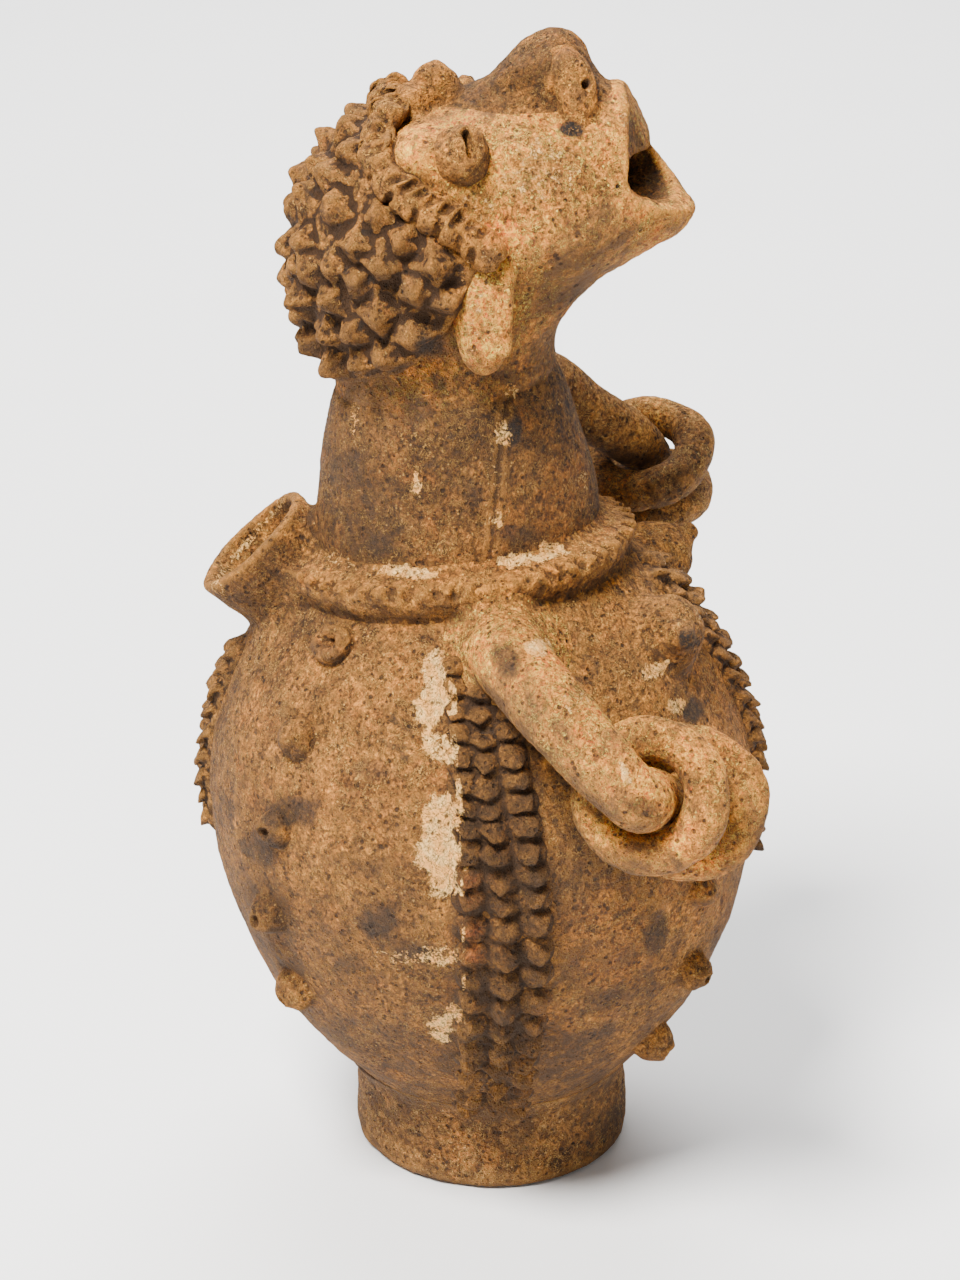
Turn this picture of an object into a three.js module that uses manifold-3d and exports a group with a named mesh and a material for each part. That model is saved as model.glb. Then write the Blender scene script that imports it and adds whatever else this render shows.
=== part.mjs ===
// Figural terracotta vessel: a round-bodied pot on a foot ring, with a tapered neck, a thrown-back
// head whose open mouth is one opening and a shoulder spout that is the other, two bent arms that
// each carry two loose clay rings, and appliqué bands, bosses and breasts.
// Units are millimetres. +Z is up, the figure faces -Y, its right side is -X.
import * as THREE from "three";
import { mergeVertices } from "three/addons/utils/BufferGeometryUtils.js";
import Module from "manifold-3d";

// ---- driving dimensions ----
const GAP = 0.3; // joint line between neighbouring pieces
const WALL = 8.5; // vessel wall
const HEAD_WALL = 7.5;
const FOOT = { r: 60, inner: 46 };
// outer profile of the vessel body, [radius, height]
const BODY = [
  [0, 22], [44, 27], [53.5, 33], [60.5, 40], [70, 50], [81, 63], [91, 77], [100.4, 94.5],
  [108, 113], [113.5, 131], [117, 152], [118.2, 173], [116.4, 194], [111.6, 211.5], [105, 227.5],
  [96, 243.5], [84.5, 258], [74.5, 268], [66, 276],
];
const NECK = [[60, 276], [59, 300], [56, 318], [52, 336], [47.5, 352], [43, 361]]; // [radius, height]
const COLLAR = { inner: 60.4, r: 70, notches: 32 };
const SPOUT = { root: [0, 66, 246], mouth: [0, 101, 284], rRoot: 22, rMouth: 29.5, wall: 6 };
const RING = { r: 22.8, tube: 9.3 };
const RINGS = {
  ring_right_1: { c: [-127.5, -63.4, 224.2], a: [0.815, -0.352, -0.46] },
  ring_right_2: { c: [-105.0, -80.4, 210.8], a: [0.962, 0.056, -0.267] },
  ring_left_1: { c: [92.1, -69.9, 288.4], a: [0.403, -0.228, -0.886] },
  ring_left_2: { c: [105.3, -71.4, 265.2], a: [0.135, -0.114, -0.984] },
};
const ARM_RIGHT = {
  path: [[-64, -4, 262], [-84, -7, 267], [-112.4, -20.7, 260], [-134.2, -39.8, 245.6], [-143.3, -56.5, 231.4],
    [-128.3, -63.7, 223.9], [-115.6, -76.5, 214], [-97, -79.9, 204.9], [-77, -79.9, 193.8]],
  radius: [[0, 15.5], [0.62, 12.6], [0.74, 10.2], [1, 10.2]],
};
const ARM_LEFT = {
  path: [[38, 4, 350], [50, -11, 341], [68.5, -24.9, 330.7], [77.5, -43.2, 313.5], [87, -62.3, 298.5],
    [97.6, -73.2, 282.8], [103.4, -72.4, 263.6], [95.5, -69.5, 242.3], [80.6, -63.5, 220.9]],
  radius: [[0, 14], [0.5, 12.2], [0.62, 10.2], [1, 10.2]],
};
// head cross-sections from the neck to the lips: lower (front) and upper (back) point in the median
// plane as [y, z], and the half width across the head
const HEAD = [
  { lo: [-25.4, 366.0], up: [60.6, 357.1], w: 43 },
  { lo: [-28.5, 378], up: [68, 380], w: 46 },
  { lo: [-35, 389], up: [74.5, 406], w: 49.5 },
  { lo: [-43, 398], up: [68, 439], w: 51 },
  { lo: [-50, 403.5], up: [40, 465], w: 49 },
  { lo: [-58, 408], up: [7, 473], w: 45 },
  { lo: [-67, 413], up: [-22, 475], w: 40 },
  { lo: [-75, 417.5], up: [-44, 478], w: 34.5 },
  { lo: [-79.5, 421.5], up: [-56, 477], w: 29.5 },
  { lo: [-81.5, 426.5], up: [-63.5, 463], w: 24 },
];
const BAND = { height: 4, knob: 3.4 };
const SIDE_BAND = { azimuth: 4.2, half: 8.4, columns: 3, from: 262, to: 50, rows: 20 };
const FRONT_BAND = { azimuth: 89, half: 8.4, columns: 3, from: 266, to: 142, rows: 14 };
const BACK_BAND = { azimuth: 270, half: 5.6, columns: 2, from: 232, to: 150, rows: 9 };
// bosses on the figure's right: [azimuth from the right side towards the front, height, base radius, height off the wall]
const BOSSES_BACK = [[-43, 263.5, 9, 7], [-44.5, 226, 8.5, 9], [-45.5, 188, 8, 8], [-50, 145, 9, 9.5], [-50, 105, 10, 10.5]];
const BOSSES_FRONT = [[50.5, 156, 7, 6.5], [52, 115, 8.6, 11], [52.5, 73, 9.6, 11.5]];
const BREASTS = [[64, 252, 19, 19, [-0.7, 0.3, -0.35]], [116, 254, 19, 20, [0, -0.35, 0]]]; // with how far each leans off the wall
const CLAY = 0xa9794a;
const SEG = 40; // facets round the pot
const HEAD_SEG = [28, 12]; // facets round and along the head

// ---- solids ----
const wasm = await Module();
wasm.setup();

// three.js geometry -> solid, with shared vertices merged and collapsed triangles dropped
function solid(geometry) {
  const g = geometry.clone();
  for (const k of Object.keys(g.attributes)) if (k !== "position") g.deleteAttribute(k);
  const m = mergeVertices(g, 1e-4);
  const idx = [];
  for (let i = 0; i < m.index.count; i += 3) {
    const [a, b, c] = [m.index.getX(i), m.index.getX(i + 1), m.index.getX(i + 2)];
    if (a !== b && b !== c && a !== c) idx.push(a, b, c);
  }
  const make = (t) =>
    new wasm.Manifold(
      new wasm.Mesh({ numProp: 3, vertProperties: new Float32Array(m.attributes.position.array), triVerts: new Uint32Array(t) }),
    );
  let s = make(idx);
  if (s.volume() < 0) {
    for (let i = 0; i < idx.length; i += 3) [idx[i + 1], idx[i + 2]] = [idx[i + 2], idx[i + 1]];
    s = make(idx);
  }
  return s;
}
// solid -> three.js geometry; a cut can leave crumbs, so only the largest body is kept
function geometryOf(s) {
  const bodies = s.decompose();
  let best = bodies[0];
  for (const b of bodies) if (b.volume() > best.volume()) best = b;
  const mesh = best.getMesh();
  const g = new THREE.BufferGeometry();
  g.setAttribute("position", new THREE.BufferAttribute(new Float32Array(mesh.vertProperties), mesh.numProp));
  g.setIndex(new THREE.BufferAttribute(new Uint32Array(mesh.triVerts), 1));
  return mergeVertices(g, 2e-3);
}
const group = new THREE.Group();
function add(name, s, color = CLAY, roughness = 0.92) {
  const g = geometryOf(s);
  g.computeVertexNormals();
  const m = new THREE.Mesh(g, new THREE.MeshStandardMaterial({ color, roughness, metalness: 0 }));
  m.name = name;
  group.add(m);
}
const clamp = (v, a, b) => Math.min(b, Math.max(a, v));
// table look-up along rows of [key, value]
function lookup(rows, t, key = 0, val = 1) {
  if (t <= rows[0][key]) return rows[0][val];
  for (let i = 1; i < rows.length; i++)
    if (t <= rows[i][key]) {
      const f = (t - rows[i - 1][key]) / (rows[i][key] - rows[i - 1][key]);
      return rows[i - 1][val] + f * (rows[i][val] - rows[i - 1][val]);
    }
  return rows[rows.length - 1][val];
}
// moves every vertex of a geometry through a function of Vector3
function warp(geometry, fn) {
  const p = geometry.attributes.position, v = new THREE.Vector3();
  for (let i = 0; i < p.count; i++) {
    v.fromBufferAttribute(p, i);
    const q = fn(v);
    p.setXYZ(i, q.x, q.y, q.z);
  }
  return geometry;
}
// a lathe about +Z from [radius, height] rows
function lathe(rows, segments) {
  const g = new THREE.LatheGeometry(rows.map(([r, z]) => new THREE.Vector2(r, z)), segments);
  return g.rotateX(Math.PI / 2);
}
// The pot is built upright and then leans: the axis drifts backwards with height and the plane of
// the collar drops towards the back.
function lean(v) {
  const z = v.z;
  const drift = -0.9 + 0.024 * (Math.min(z, 276) - 34) + (7.1 / 3721) * clamp(z - 215, 0, 61) ** 2 + 0.065 * Math.max(z - 276, 0);
  const t = clamp((z - 225) / 51, 0, 1);
  const tilt = 0.105 * t * t * (3 - 2 * t);
  return new THREE.Vector3(v.x, v.y + drift, z - tilt * v.y);
}
const bodyRadius = (z) => lookup(BODY.slice(1), z, 1, 0);
// point on the body: azimuth 0 is the figure's right, 90 its front
function onBody(azimuth, z, off = 0) {
  const a = THREE.MathUtils.degToRad(azimuth);
  const s = (bodyRadius(z + 2) - bodyRadius(z - 2)) / 4, n = Math.hypot(1, s);
  const r = bodyRadius(z) + off / n;
  return lean(new THREE.Vector3(-r * Math.cos(a), -r * Math.sin(a), z - (off * s) / n));
}
// the body grown outwards by off, closed at the top: the tool that fits appliqué to the wall
function bodyTool(off, segments = SEG) {
  const rows = BODY.map(([r, z], i) => {
    const a = BODY[Math.max(i - 1, 0)], b = BODY[Math.min(i + 1, BODY.length - 1)];
    const n = new THREE.Vector2(b[1] - a[1], -(b[0] - a[0])).normalize();
    return [Math.max(r + n.x * off, 0), z + n.y * off];
  });
  rows[0] = [0, BODY[0][1] - off];
  const top = rows[rows.length - 1];
  rows.push([0, top[1]]);
  return solid(warp(lathe(rows, segments), lean));
}
// a tube of changing radius along a curve, with capped ends
function roll(points, radius, sides, steps, tension = 0.5) {
  const curve = new THREE.CatmullRomCurve3(points.map((p) => new THREE.Vector3(...p)), false, "catmullrom", tension);
  const frames = curve.computeFrenetFrames(steps, false);
  const g = new THREE.CylinderGeometry(1, 1, 1, sides, steps);
  return warp(g, (v) => {
    const k = Math.round((v.y + 0.5) * steps);
    const r = lookup(radius, k / steps);
    return curve
      .getPointAt(k / steps)
      .addScaledVector(frames.normals[k], v.x * r)
      .addScaledVector(frames.binormals[k], v.z * r);
  });
}
// a loft of super-ellipses: sections give the median-plane ends lo and up as [y, z] and half width w
function loft(sections, sides, steps, off = 0, squareness = 2.25) {
  const lo = new THREE.CatmullRomCurve3(sections.map((s) => new THREE.Vector3(0, ...s.lo)));
  const up = new THREE.CatmullRomCurve3(sections.map((s) => new THREE.Vector3(0, ...s.up)));
  const w = new THREE.CatmullRomCurve3(sections.map((s) => new THREE.Vector3(s.w, 0, 0)));
  const g = new THREE.CylinderGeometry(1, 1, 1, sides, steps);
  return warp(g, (v) => {
    const t = v.y + 0.5;
    const L = lo.getPoint(t), U = up.getPoint(t), W = w.getPoint(t).x + off;
    const c = L.clone().add(U).multiplyScalar(0.5), d = U.clone().sub(L), h = d.length() / 2 + off;
    d.normalize();
    const r = Math.hypot(v.x, v.z);
    if (r < 1e-6) return c;
    const cs = v.z / r, sn = v.x / r, e = 2 / squareness;
    const k = (q) => Math.sign(q) * Math.abs(q) ** e;
    return c.addScaledVector(d, k(cs) * h).add(new THREE.Vector3(k(sn) * W, 0, 0));
  });
}
const ball = (c, r, ws = 12, hs = 8) => new THREE.SphereGeometry(1, ws, hs).scale(...(Array.isArray(r) ? r : [r, r, r])).translate(...c);
// turns +Z of a geometry to a direction, at a point
function aim(geometry, point, direction, spin = 0) {
  const q = new THREE.Quaternion().setFromUnitVectors(new THREE.Vector3(0, 0, 1), new THREE.Vector3(...direction).normalize());
  return geometry.rotateZ(spin).applyQuaternion(q).translate(...point);
}

// ---- body, foot, neck, collar, spout ----
const outerNear = bodyTool(GAP);
const innerRows = BODY.slice(2).map(([r, z], i, rows) => {
  const a = rows[Math.max(i - 1, 0)], b = rows[Math.min(i + 1, rows.length - 1)];
  const n = new THREE.Vector2(b[1] - a[1], -(b[0] - a[0])).normalize();
  return [r - n.x * WALL, z - n.y * WALL];
});
const bodyRows = [...BODY, [BODY[BODY.length - 1][0] - WALL * 0.9, 276], ...innerRows.slice(0, -1).filter((_, i) => i % 2 === 0).reverse(), [28, 31.5], [0, 30.5]];
const spoutAxis = new THREE.Vector3(...SPOUT.mouth).sub(new THREE.Vector3(...SPOUT.root));
const spoutLong = spoutAxis.length();
spoutAxis.normalize();
const spoutShape = (rows, seg = 28) => aim(lathe(rows, seg), SPOUT.root, spoutAxis.toArray());
const spoutBore = solid(
  spoutShape([[0, -26], [SPOUT.rRoot - SPOUT.wall, -26], [SPOUT.rRoot - SPOUT.wall, 20], [SPOUT.rMouth - SPOUT.wall + 1, spoutLong + 4], [0, spoutLong + 4]]),
);
const vessel = solid(warp(lathe(bodyRows, SEG), lean)).subtract(spoutBore);

const neckRows = NECK.map(([r, z], i) => [r, i === 0 ? z + GAP : z]);
const neckInner = neckRows.map(([r, z]) => [r - WALL + 0.5, z]).reverse();
const neckRing = [...neckRows, ...neckInner];
neckRing.push(neckRing[0]);
const neck = solid(warp(lathe(neckRing, 36), lean));
const neckTool = (off) =>
  solid(warp(lathe([[0, 266], [NECK[0][0] + off, 266], ...NECK.map(([r, z]) => [r + off, z]), [NECK[5][0] + off - 1, 366], [0, 366]], 36), lean));
const neckNear = neckTool(GAP);

// the foot's top follows the underside of the pot
const footRows = [[FOOT.inner, 0], [FOOT.r - 5, 0], [FOOT.r - 1.6, 1.6], [FOOT.r, 6], [FOOT.r, 30], [FOOT.r - 0.4, 38.4], [53.6, 32.5], [44.2, 26.5], [43.6, 22], [FOOT.inner, 0]];
const foot = solid(warp(lathe(footRows, SEG), lean));

// collar: a flange whose outer edge is pinched into notches
const collarRows = [
  [COLLAR.inner, 276.7], [66.4, 276.6], [COLLAR.r + 1, 272.3], [COLLAR.r + 2.6, 274.5], [COLLAR.r + 2.4, 280], [COLLAR.r - 1, 284], [COLLAR.inner, 285], [COLLAR.inner, 276.7],
];
const collarGeo = warp(lathe(collarRows, COLLAR.notches * 2), (v) => {
  const r = Math.hypot(v.x, v.y), a = Math.atan2(v.y, v.x);
  if (r < COLLAR.r - 3 || v.z < 278) return v;
  const k = Math.round((a / (2 * Math.PI)) * COLLAR.notches * 2);
  const cut = k % 2 ? 2.6 : 0;
  return new THREE.Vector3(v.x * (1 - cut / r), v.y * (1 - cut / r), v.z);
});
const collarFull = solid(warp(collarGeo, lean));
const collarNear = solid(
  warp(lathe([[50, 268], [COLLAR.r + 1 + GAP, 271.5], [COLLAR.r + 2.6 + GAP, 274.3], [COLLAR.r + 2.6 + GAP, 281], [COLLAR.r - 0.5, 284.6], [50, 286], [50, 268]], 36), lean),
);

const spoutRows = [[SPOUT.rRoot + 3, -14], [SPOUT.rRoot + 1, 8], [SPOUT.rRoot + 2, 20], [SPOUT.rMouth - 1.5, spoutLong - 12], [SPOUT.rMouth, spoutLong - 1.5], [SPOUT.rMouth - 1.8, spoutLong], [SPOUT.rMouth - SPOUT.wall + 1.2, spoutLong], [SPOUT.rRoot - SPOUT.wall, 18], [SPOUT.rRoot - SPOUT.wall, -14], [SPOUT.rRoot + 3, -14]];
const spout = solid(spoutShape(spoutRows)).subtract(outerNear).subtract(neckNear);
const spoutNear = solid(
  spoutShape([[0, -14], [SPOUT.rRoot + 3 + GAP, -14], [SPOUT.rRoot + 1 + GAP, 8], [SPOUT.rRoot + 2 + GAP, 20], [SPOUT.rMouth - 1.5 + GAP, spoutLong - 12], [SPOUT.rMouth + GAP, spoutLong - 1.5], [0, spoutLong - 1.5]]),
);
const collar = collarFull.subtract(spoutNear);

add("vessel_body", vessel, 0xa77848);
add("foot_ring", foot, 0x9a6a40);
add("neck", neck, 0xa5774a);
add("collar_band", collar, 0xb08a5c);
add("spout", spout, 0xa67c4e);

// ---- head ----
const first = HEAD[0], last = HEAD[HEAD.length - 1];
const headOuter = (off) => solid(loft(HEAD, ...HEAD_SEG, off));
const shell = headOuter(0);
const inner = HEAD.map((s, i) => ({ lo: [s.lo[0], s.lo[1]], up: [s.up[0], s.up[1]], w: s.w }));
const innerSections = [
  { lo: [first.lo[0] + 1, first.lo[1] - 10], up: [first.up[0] - 0.5, first.up[1] - 10], w: first.w },
  ...inner.slice(0, 9),
];
const cavity = solid(loft(innerSections, 24, 10, -HEAD_WALL));
// the open mouth: a wedge between the lips, right through the cheeks
const mouthOutline = new THREE.Shape();
mouthOutline.moveTo(-53, 449);
mouthOutline.quadraticCurveTo(-53, 456.5, -58, 454.5);
for (const [y, z] of [[-67, 447.5], [-66.8, 450.7], [-64.6, 455], [-60.3, 467.2], [-56, 479.5], [-96, 479.5], [-96, 431.5], [-79.5, 431.5], [-73, 436.5], [-66, 439.3]])
  mouthOutline.lineTo(y, z);
mouthOutline.quadraticCurveTo(-54, 441.5, -53, 449);
const mouthCut = solid(
  new THREE.ExtrudeGeometry(mouthOutline, { depth: 120, bevelEnabled: false, curveSegments: 5 })
    .translate(0, 0, -60)
    .rotateY(Math.PI / 2)
    .rotateX(Math.PI / 2),
);
// the throat behind the lips, open into the cavity
const throat = solid(ball([0, -52, 443], [22, 22, 14], 14, 8));
const headBare = shell.subtract(cavity).subtract(mouthCut).subtract(throat);
const nearHead = headOuter(GAP * 1.7);

// hair: a cap that follows the skull, set with pointed knobs
const capOuter = headOuter(4.5);
const hairline = new THREE.Shape(); // side view [y, z], everything behind it carries hair
hairline.moveTo(36, 500);
for (const [y, z] of [[37, 470], [42, 455], [34, 443], [18, 428], [4, 419], [8, 403], [17, 388], [27, 378], [41, 370], [58, 364], [110, 358], [110, 500]]) hairline.lineTo(y, z);
hairline.closePath();
const hairZone = solid(
  new THREE.ExtrudeGeometry(hairline, { depth: 140, bevelEnabled: false }).translate(0, 0, -70).rotateY(Math.PI / 2).rotateX(Math.PI / 2),
);
let hair = capOuter.subtract(nearHead).intersect(hairZone);
const skullCentre = new THREE.Vector3(0, 22, 418);
const capMesh = new THREE.Mesh(loft(HEAD, 44, 40, 3.5), new THREE.MeshBasicMaterial({ side: THREE.DoubleSide }));
const caster = new THREE.Raycaster();
const inHair = (y, z) => {
  // the knob stands inside the hairline by its own radius
  const poly = hairline.getPoints(1);
  let inside = false, near = 1e9;
  for (let i = 0, j = poly.length - 1; i < poly.length; j = i++) {
    const a = poly[i], b = poly[j];
    if (a.y > z !== b.y > z && y < ((b.x - a.x) * (z - a.y)) / (b.y - a.y) + a.x) inside = !inside;
    const dx = b.x - a.x, dz = b.y - a.y;
    if (dx === 0 && dz === 0) continue;
    const t = clamp(((y - a.x) * dx + (z - a.y) * dz) / (dx * dx + dz * dz), 0, 1);
    near = Math.min(near, Math.hypot(y - a.x - t * dx, z - a.y - t * dz));
  }
  return inside && near > 4.2;
};
// knobs on a spiral of even spacing round the back of the skull
const KNOBS = 214;
const knobs = [];
for (let i = 0; i < KNOBS; i++) {
  const c = 1 - (2 * (i + 0.5)) / KNOBS, s = Math.sqrt(1 - c * c), a = i * Math.PI * (3 - Math.sqrt(5));
  const dir = new THREE.Vector3(s * Math.cos(a), c, s * Math.sin(a));
  caster.set(skullCentre, dir);
  const hits = caster.intersectObject(capMesh);
  if (!hits.length) continue;
  const p = hits[hits.length - 1].point;
  if (!inHair(p.y, p.z) || knobs.some((k) => k.distanceTo(p) < 12)) continue;
  knobs.push(p.clone());
  const out = p.clone().sub(new THREE.Vector3(0, 22, 415)).normalize();
  const r = 7.9 + 0.7 * Math.sin(i * 2.4), h = 12 + 1.2 * Math.cos(i * 1.7);
  const cone = new THREE.ConeGeometry(r, h, 5, 1).translate(0, h / 2 - 2, 0).rotateX(Math.PI / 2);
  hair = hair.add(solid(aim(cone, p.toArray(), out.toArray(), i)));
}
// the scalp keeps clear of the head and the neck that it sits on
hair = hair.subtract(nearHead).subtract(neckTool(GAP));

// diadem: a notched ridge along the hairline from ear to ear
const diademSide = [[2, 418], [14, 429], [27, 440], [36, 452], [37.5, 464]];
const onHead = (y, z, x) => {
  // point of the head's surface straight out from the median plane
  caster.set(new THREE.Vector3(0, y, z), new THREE.Vector3(x, 0, 0));
  const h = caster.intersectObject(headMesh);
  return h.length ? h[h.length - 1].point : new THREE.Vector3(0, y, z);
};
const headMesh = new THREE.Mesh(loft(HEAD, 44, 40, 0), new THREE.MeshBasicMaterial({ side: THREE.DoubleSide }));
const sidePts = diademSide.map(([y, z]) => onHead(y, z, -1));
const arc = [...sidePts, new THREE.Vector3(-17, 36, 467.2), new THREE.Vector3(0, 35, 468.5)];
const arcAll = [...arc, ...arc.slice(0, -1).reverse().map((p) => new THREE.Vector3(-p.x, p.y, p.z))];
const BEADS = 27;
const beadRadius = [];
for (let i = 0; i <= BEADS * 2; i++) beadRadius.push([i / (BEADS * 2), i % 2 ? 6.6 : 4.4]);
const diadem = solid(roll(arcAll.map((p) => p.toArray()), beadRadius, 6, BEADS * 2)).subtract(nearHead);
const diademCurve = new THREE.CatmullRomCurve3(arcAll).getSpacedPoints(16);
let diademNear = null;
for (let i = 1; i < diademCurve.length; i++) {
  const a = diademCurve[i - 1], d = diademCurve[i].clone().sub(a), long = d.length();
  const rod = new THREE.CylinderGeometry(7.6, 7.6, long + 5, 10).rotateX(Math.PI / 2).translate(0, 0, long / 2);
  const piece = solid(aim(rod, a.toArray(), d.toArray()));
  diademNear = diademNear ? diademNear.add(piece) : piece;
}

// nose: a tall wedge rising from between the eyes, blunt at its tip
const noseSections = [
  { lo: [13, 466], up: [12, 475.5], w: 8 },
  { lo: [5, 463], up: [4, 478.5], w: 13 },
  { lo: [-6, 461], up: [-5.5, 485.5], w: 16.5 },
  { lo: [-17, 461], up: [-16, 495.5], w: 18 },
  { lo: [-28, 461], up: [-26.5, 500], w: 17.5 },
  { lo: [-37, 463], up: [-36.5, 495], w: 15.5 },
  { lo: [-42, 466], up: [-44, 481], w: 11 },
];
const nose = solid(loft(noseSections, 14, 10, 0, 1.75)).subtract(nearHead);
const noseNear = solid(loft(noseSections, 14, 10, GAP, 1.75));
const wing = (s) => {
  const g = ball([0, 0, 0], [6.2, 8.2, 15.5], 10, 7).rotateX(THREE.MathUtils.degToRad(14)).rotateY(THREE.MathUtils.degToRad(-8 * s));
  return solid(g.translate(20 * s, -33.5, 479)).subtract(nearHead).subtract(noseNear);
};
const eye = (s) => {
  const p = onHead(11.5, 459, s), out = new THREE.Vector3(s * 0.8, 0, 0.6);
  const lid = new THREE.SphereGeometry(11.3, 14, 8).scale(1, 1, 0.78);
  const slit = new THREE.BoxGeometry(17, 2.4, 9).translate(0, 0, 9.6);
  return solid(aim(lid, p.toArray(), out.toArray())).subtract(solid(aim(slit, p.toArray(), out.toArray(), 0))).subtract(nearHead).subtract(diademNear);
};
const pellet = solid(ball([0, 22, 476.5], [8.5, 9, 10], 10, 7)).subtract(nearHead).subtract(diademNear);
const ear = (s) => {
  const g = warp(ball([0, 0, 0], [1, 1, 1], 12, 10), (v) => {
    const t = (v.z + 1) / 2; // 0 at the lobe's tip, 1 at its root
    return new THREE.Vector3(v.x * 7.4, v.y * (10.2 - 1.6 * t) , v.z * 22.5);
  });
  return solid(g.rotateY(THREE.MathUtils.degToRad(-7 * s)).translate(52.5 * s, 1.6, 395)).subtract(nearHead).subtract(neckTool(GAP)).subtract(diademNear);
};
const earRight = ear(-1), earLeft = ear(1);
const grow = (s) => {
  const g = warp(ball([0, 0, 0], [1, 1, 1], 12, 10), (v) => new THREE.Vector3(v.x * 8.2, v.y * (11 - 1.6 * ((v.z + 1) / 2)), v.z * 23.3));
  return solid(g.rotateY(THREE.MathUtils.degToRad(-7 * s)).translate(52.5 * s, 1.6, 395));
};
hair = hair.subtract(diademNear).subtract(grow(-1)).subtract(grow(1));

add("head", headBare, 0xb38652);
add("hair", hair, 0x8f6238);
add("diadem", diadem, 0x96683d);
add("forehead_pellet", pellet, 0xb07a48);
add("nose", nose, 0x9a7045);
add("nostril_right", wing(-1), 0xa8784a);
add("nostril_left", wing(1), 0xa8784a);
add("eye_right", eye(-1), 0x9c6e42);
add("eye_left", eye(1), 0x9c6e42);
add("ear_right", earRight, 0xb5894f);
add("ear_left", earLeft, 0xb5894f);

// ---- arms and rings ----
const armRight = solid(roll(ARM_RIGHT.path, ARM_RIGHT.radius, 12, 26)).subtract(outerNear).subtract(collarNear);
const armLeft = solid(roll(ARM_LEFT.path, ARM_LEFT.radius, 12, 26)).subtract(outerNear).subtract(neckTool(GAP)).subtract(nearHead).subtract(grow(1));
const armNear = (A) => solid(roll(A.path, A.radius.map(([t, r]) => [t, r + GAP + 0.25]), 12, 26));
const armRightNear = armNear(ARM_RIGHT), armLeftNear = armNear(ARM_LEFT);
add("arm_right", armRight, 0xa87b4c);
add("arm_left", armLeft, 0xa0744a);
for (const [name, { c, a }] of Object.entries(RINGS))
  add(name, solid(aim(new THREE.TorusGeometry(RING.r, RING.tube, 9, 24), c, a)), name.endsWith("1") ? 0xab8054 : 0xa67a50);

// ---- bands of scale-like knobs down the wall ----
// each strip lies on the wall; its outer face is a grid whose middle points stand up as knobs
function band({ azimuth, half, columns, from, to, rows }) {
  const dense = [], run = [0];
  for (let i = 0; i <= 400; i++) dense.push(onBody(azimuth, from - ((from - to) * i) / 400));
  for (let i = 1; i <= 400; i++) run.push(run[i - 1] + dense[i].distanceTo(dense[i - 1]));
  return solid(
    warp(new THREE.BoxGeometry(1, 1, 1, columns * 2, 1, rows * 2), (v) => {
      const c = Math.round((v.x + 0.5) * columns * 2), r = Math.round((0.5 - v.z) * rows * 2);
      let i = run.findIndex((q) => q >= (run[400] * r) / (rows * 2));
      if (i < 0) i = 400;
      const z = from - ((from - to) * i) / 400;
      const edge = c === 0 || c === columns * 2 || r === 0 || r === rows * 2;
      const top = c % 2 && r % 2 ? BAND.height + BAND.knob : edge ? 1.6 : BAND.height - 1.2;
      return onBody(azimuth + v.x * 2 * half, z, v.y < 0 ? GAP + 0.15 : top);
    }),
  );
}
// pointed or hollow-tipped pellets and the breasts
function boss([azimuth, z, base, tall], hollow = 0.28, sides = 9) {
  const rows = [[0, GAP + 0.1], [base, GAP + 0.1], [base * 0.72, tall * 0.5], [base * 0.46, tall], [base * hollow, tall], [0, tall * 0.72]];
  const p = onBody(azimuth, z), out = onBody(azimuth, z, 5).sub(p);
  return solid(aim(lathe(rows, sides), p.toArray(), out.toArray())).subtract(outerNear);
}
function breast([azimuth, z, base, tall, lean]) {
  const rows = [[0, -9], [base + 1, -9], [base, 0], [base * 0.84, tall * 0.3], [base * 0.6, tall * 0.6], [base * 0.4, tall * 0.8], [base * 0.34, tall * 0.93], [base * 0.2, tall], [0, tall + 0.4]];
  const p = onBody(azimuth, z), out = onBody(azimuth, z, 5).sub(p).normalize();
  out.add(new THREE.Vector3(...lean)); // they don't point straight off the wall
  return solid(aim(lathe(rows, 16), p.toArray(), out.toArray()));
}
const mirror = (az) => 180 - az;
const bandRight = band(SIDE_BAND).subtract(armRightNear).subtract(collarNear);
const bandLeft = band({ ...SIDE_BAND, azimuth: mirror(SIDE_BAND.azimuth) }).subtract(collarNear);
const bandFront = band(FRONT_BAND).subtract(collarNear);
const bandBack = band(BACK_BAND).subtract(spoutNear);
add("band_right", bandRight, 0x7c5631);
add("band_left", bandLeft, 0x7c5631);
add("band_front", bandFront, 0x8c633a);
add("band_back", bandBack, 0x8c633a);
const frontNear = band({ ...FRONT_BAND, half: FRONT_BAND.half + 0.6 });
add("breast_right", breast(BREASTS[0]).subtract(outerNear).subtract(frontNear).subtract(collarNear), 0xa5774a);
add("breast_left", breast(BREASTS[1]).subtract(outerNear).subtract(frontNear).subtract(collarNear).subtract(armLeftNear), 0xa5774a);
BOSSES_BACK.forEach((b, i) => {
  add("boss_back_right_" + (i + 1), boss(b), 0xa0723f);
  add("boss_back_left_" + (i + 1), boss([mirror(b[0]), b[1], b[2], b[3]]), 0xa0723f);
});
BOSSES_FRONT.forEach((b, i) => {
  add("boss_front_right_" + (i + 1), boss(b), 0xa0723f);
  add("boss_front_left_" + (i + 1), boss([mirror(b[0]), b[1], b[2], b[3]]), 0xa0723f);
});

// origin: middle of the bounding box in plan, at the underside of the foot
const box = new THREE.Box3().setFromObject(group);
group.children.forEach((m) => m.geometry.translate(-(box.min.x + box.max.x) / 2, -(box.min.y + box.max.y) / 2, -box.min.z));

export default group;
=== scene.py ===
import math

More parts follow.
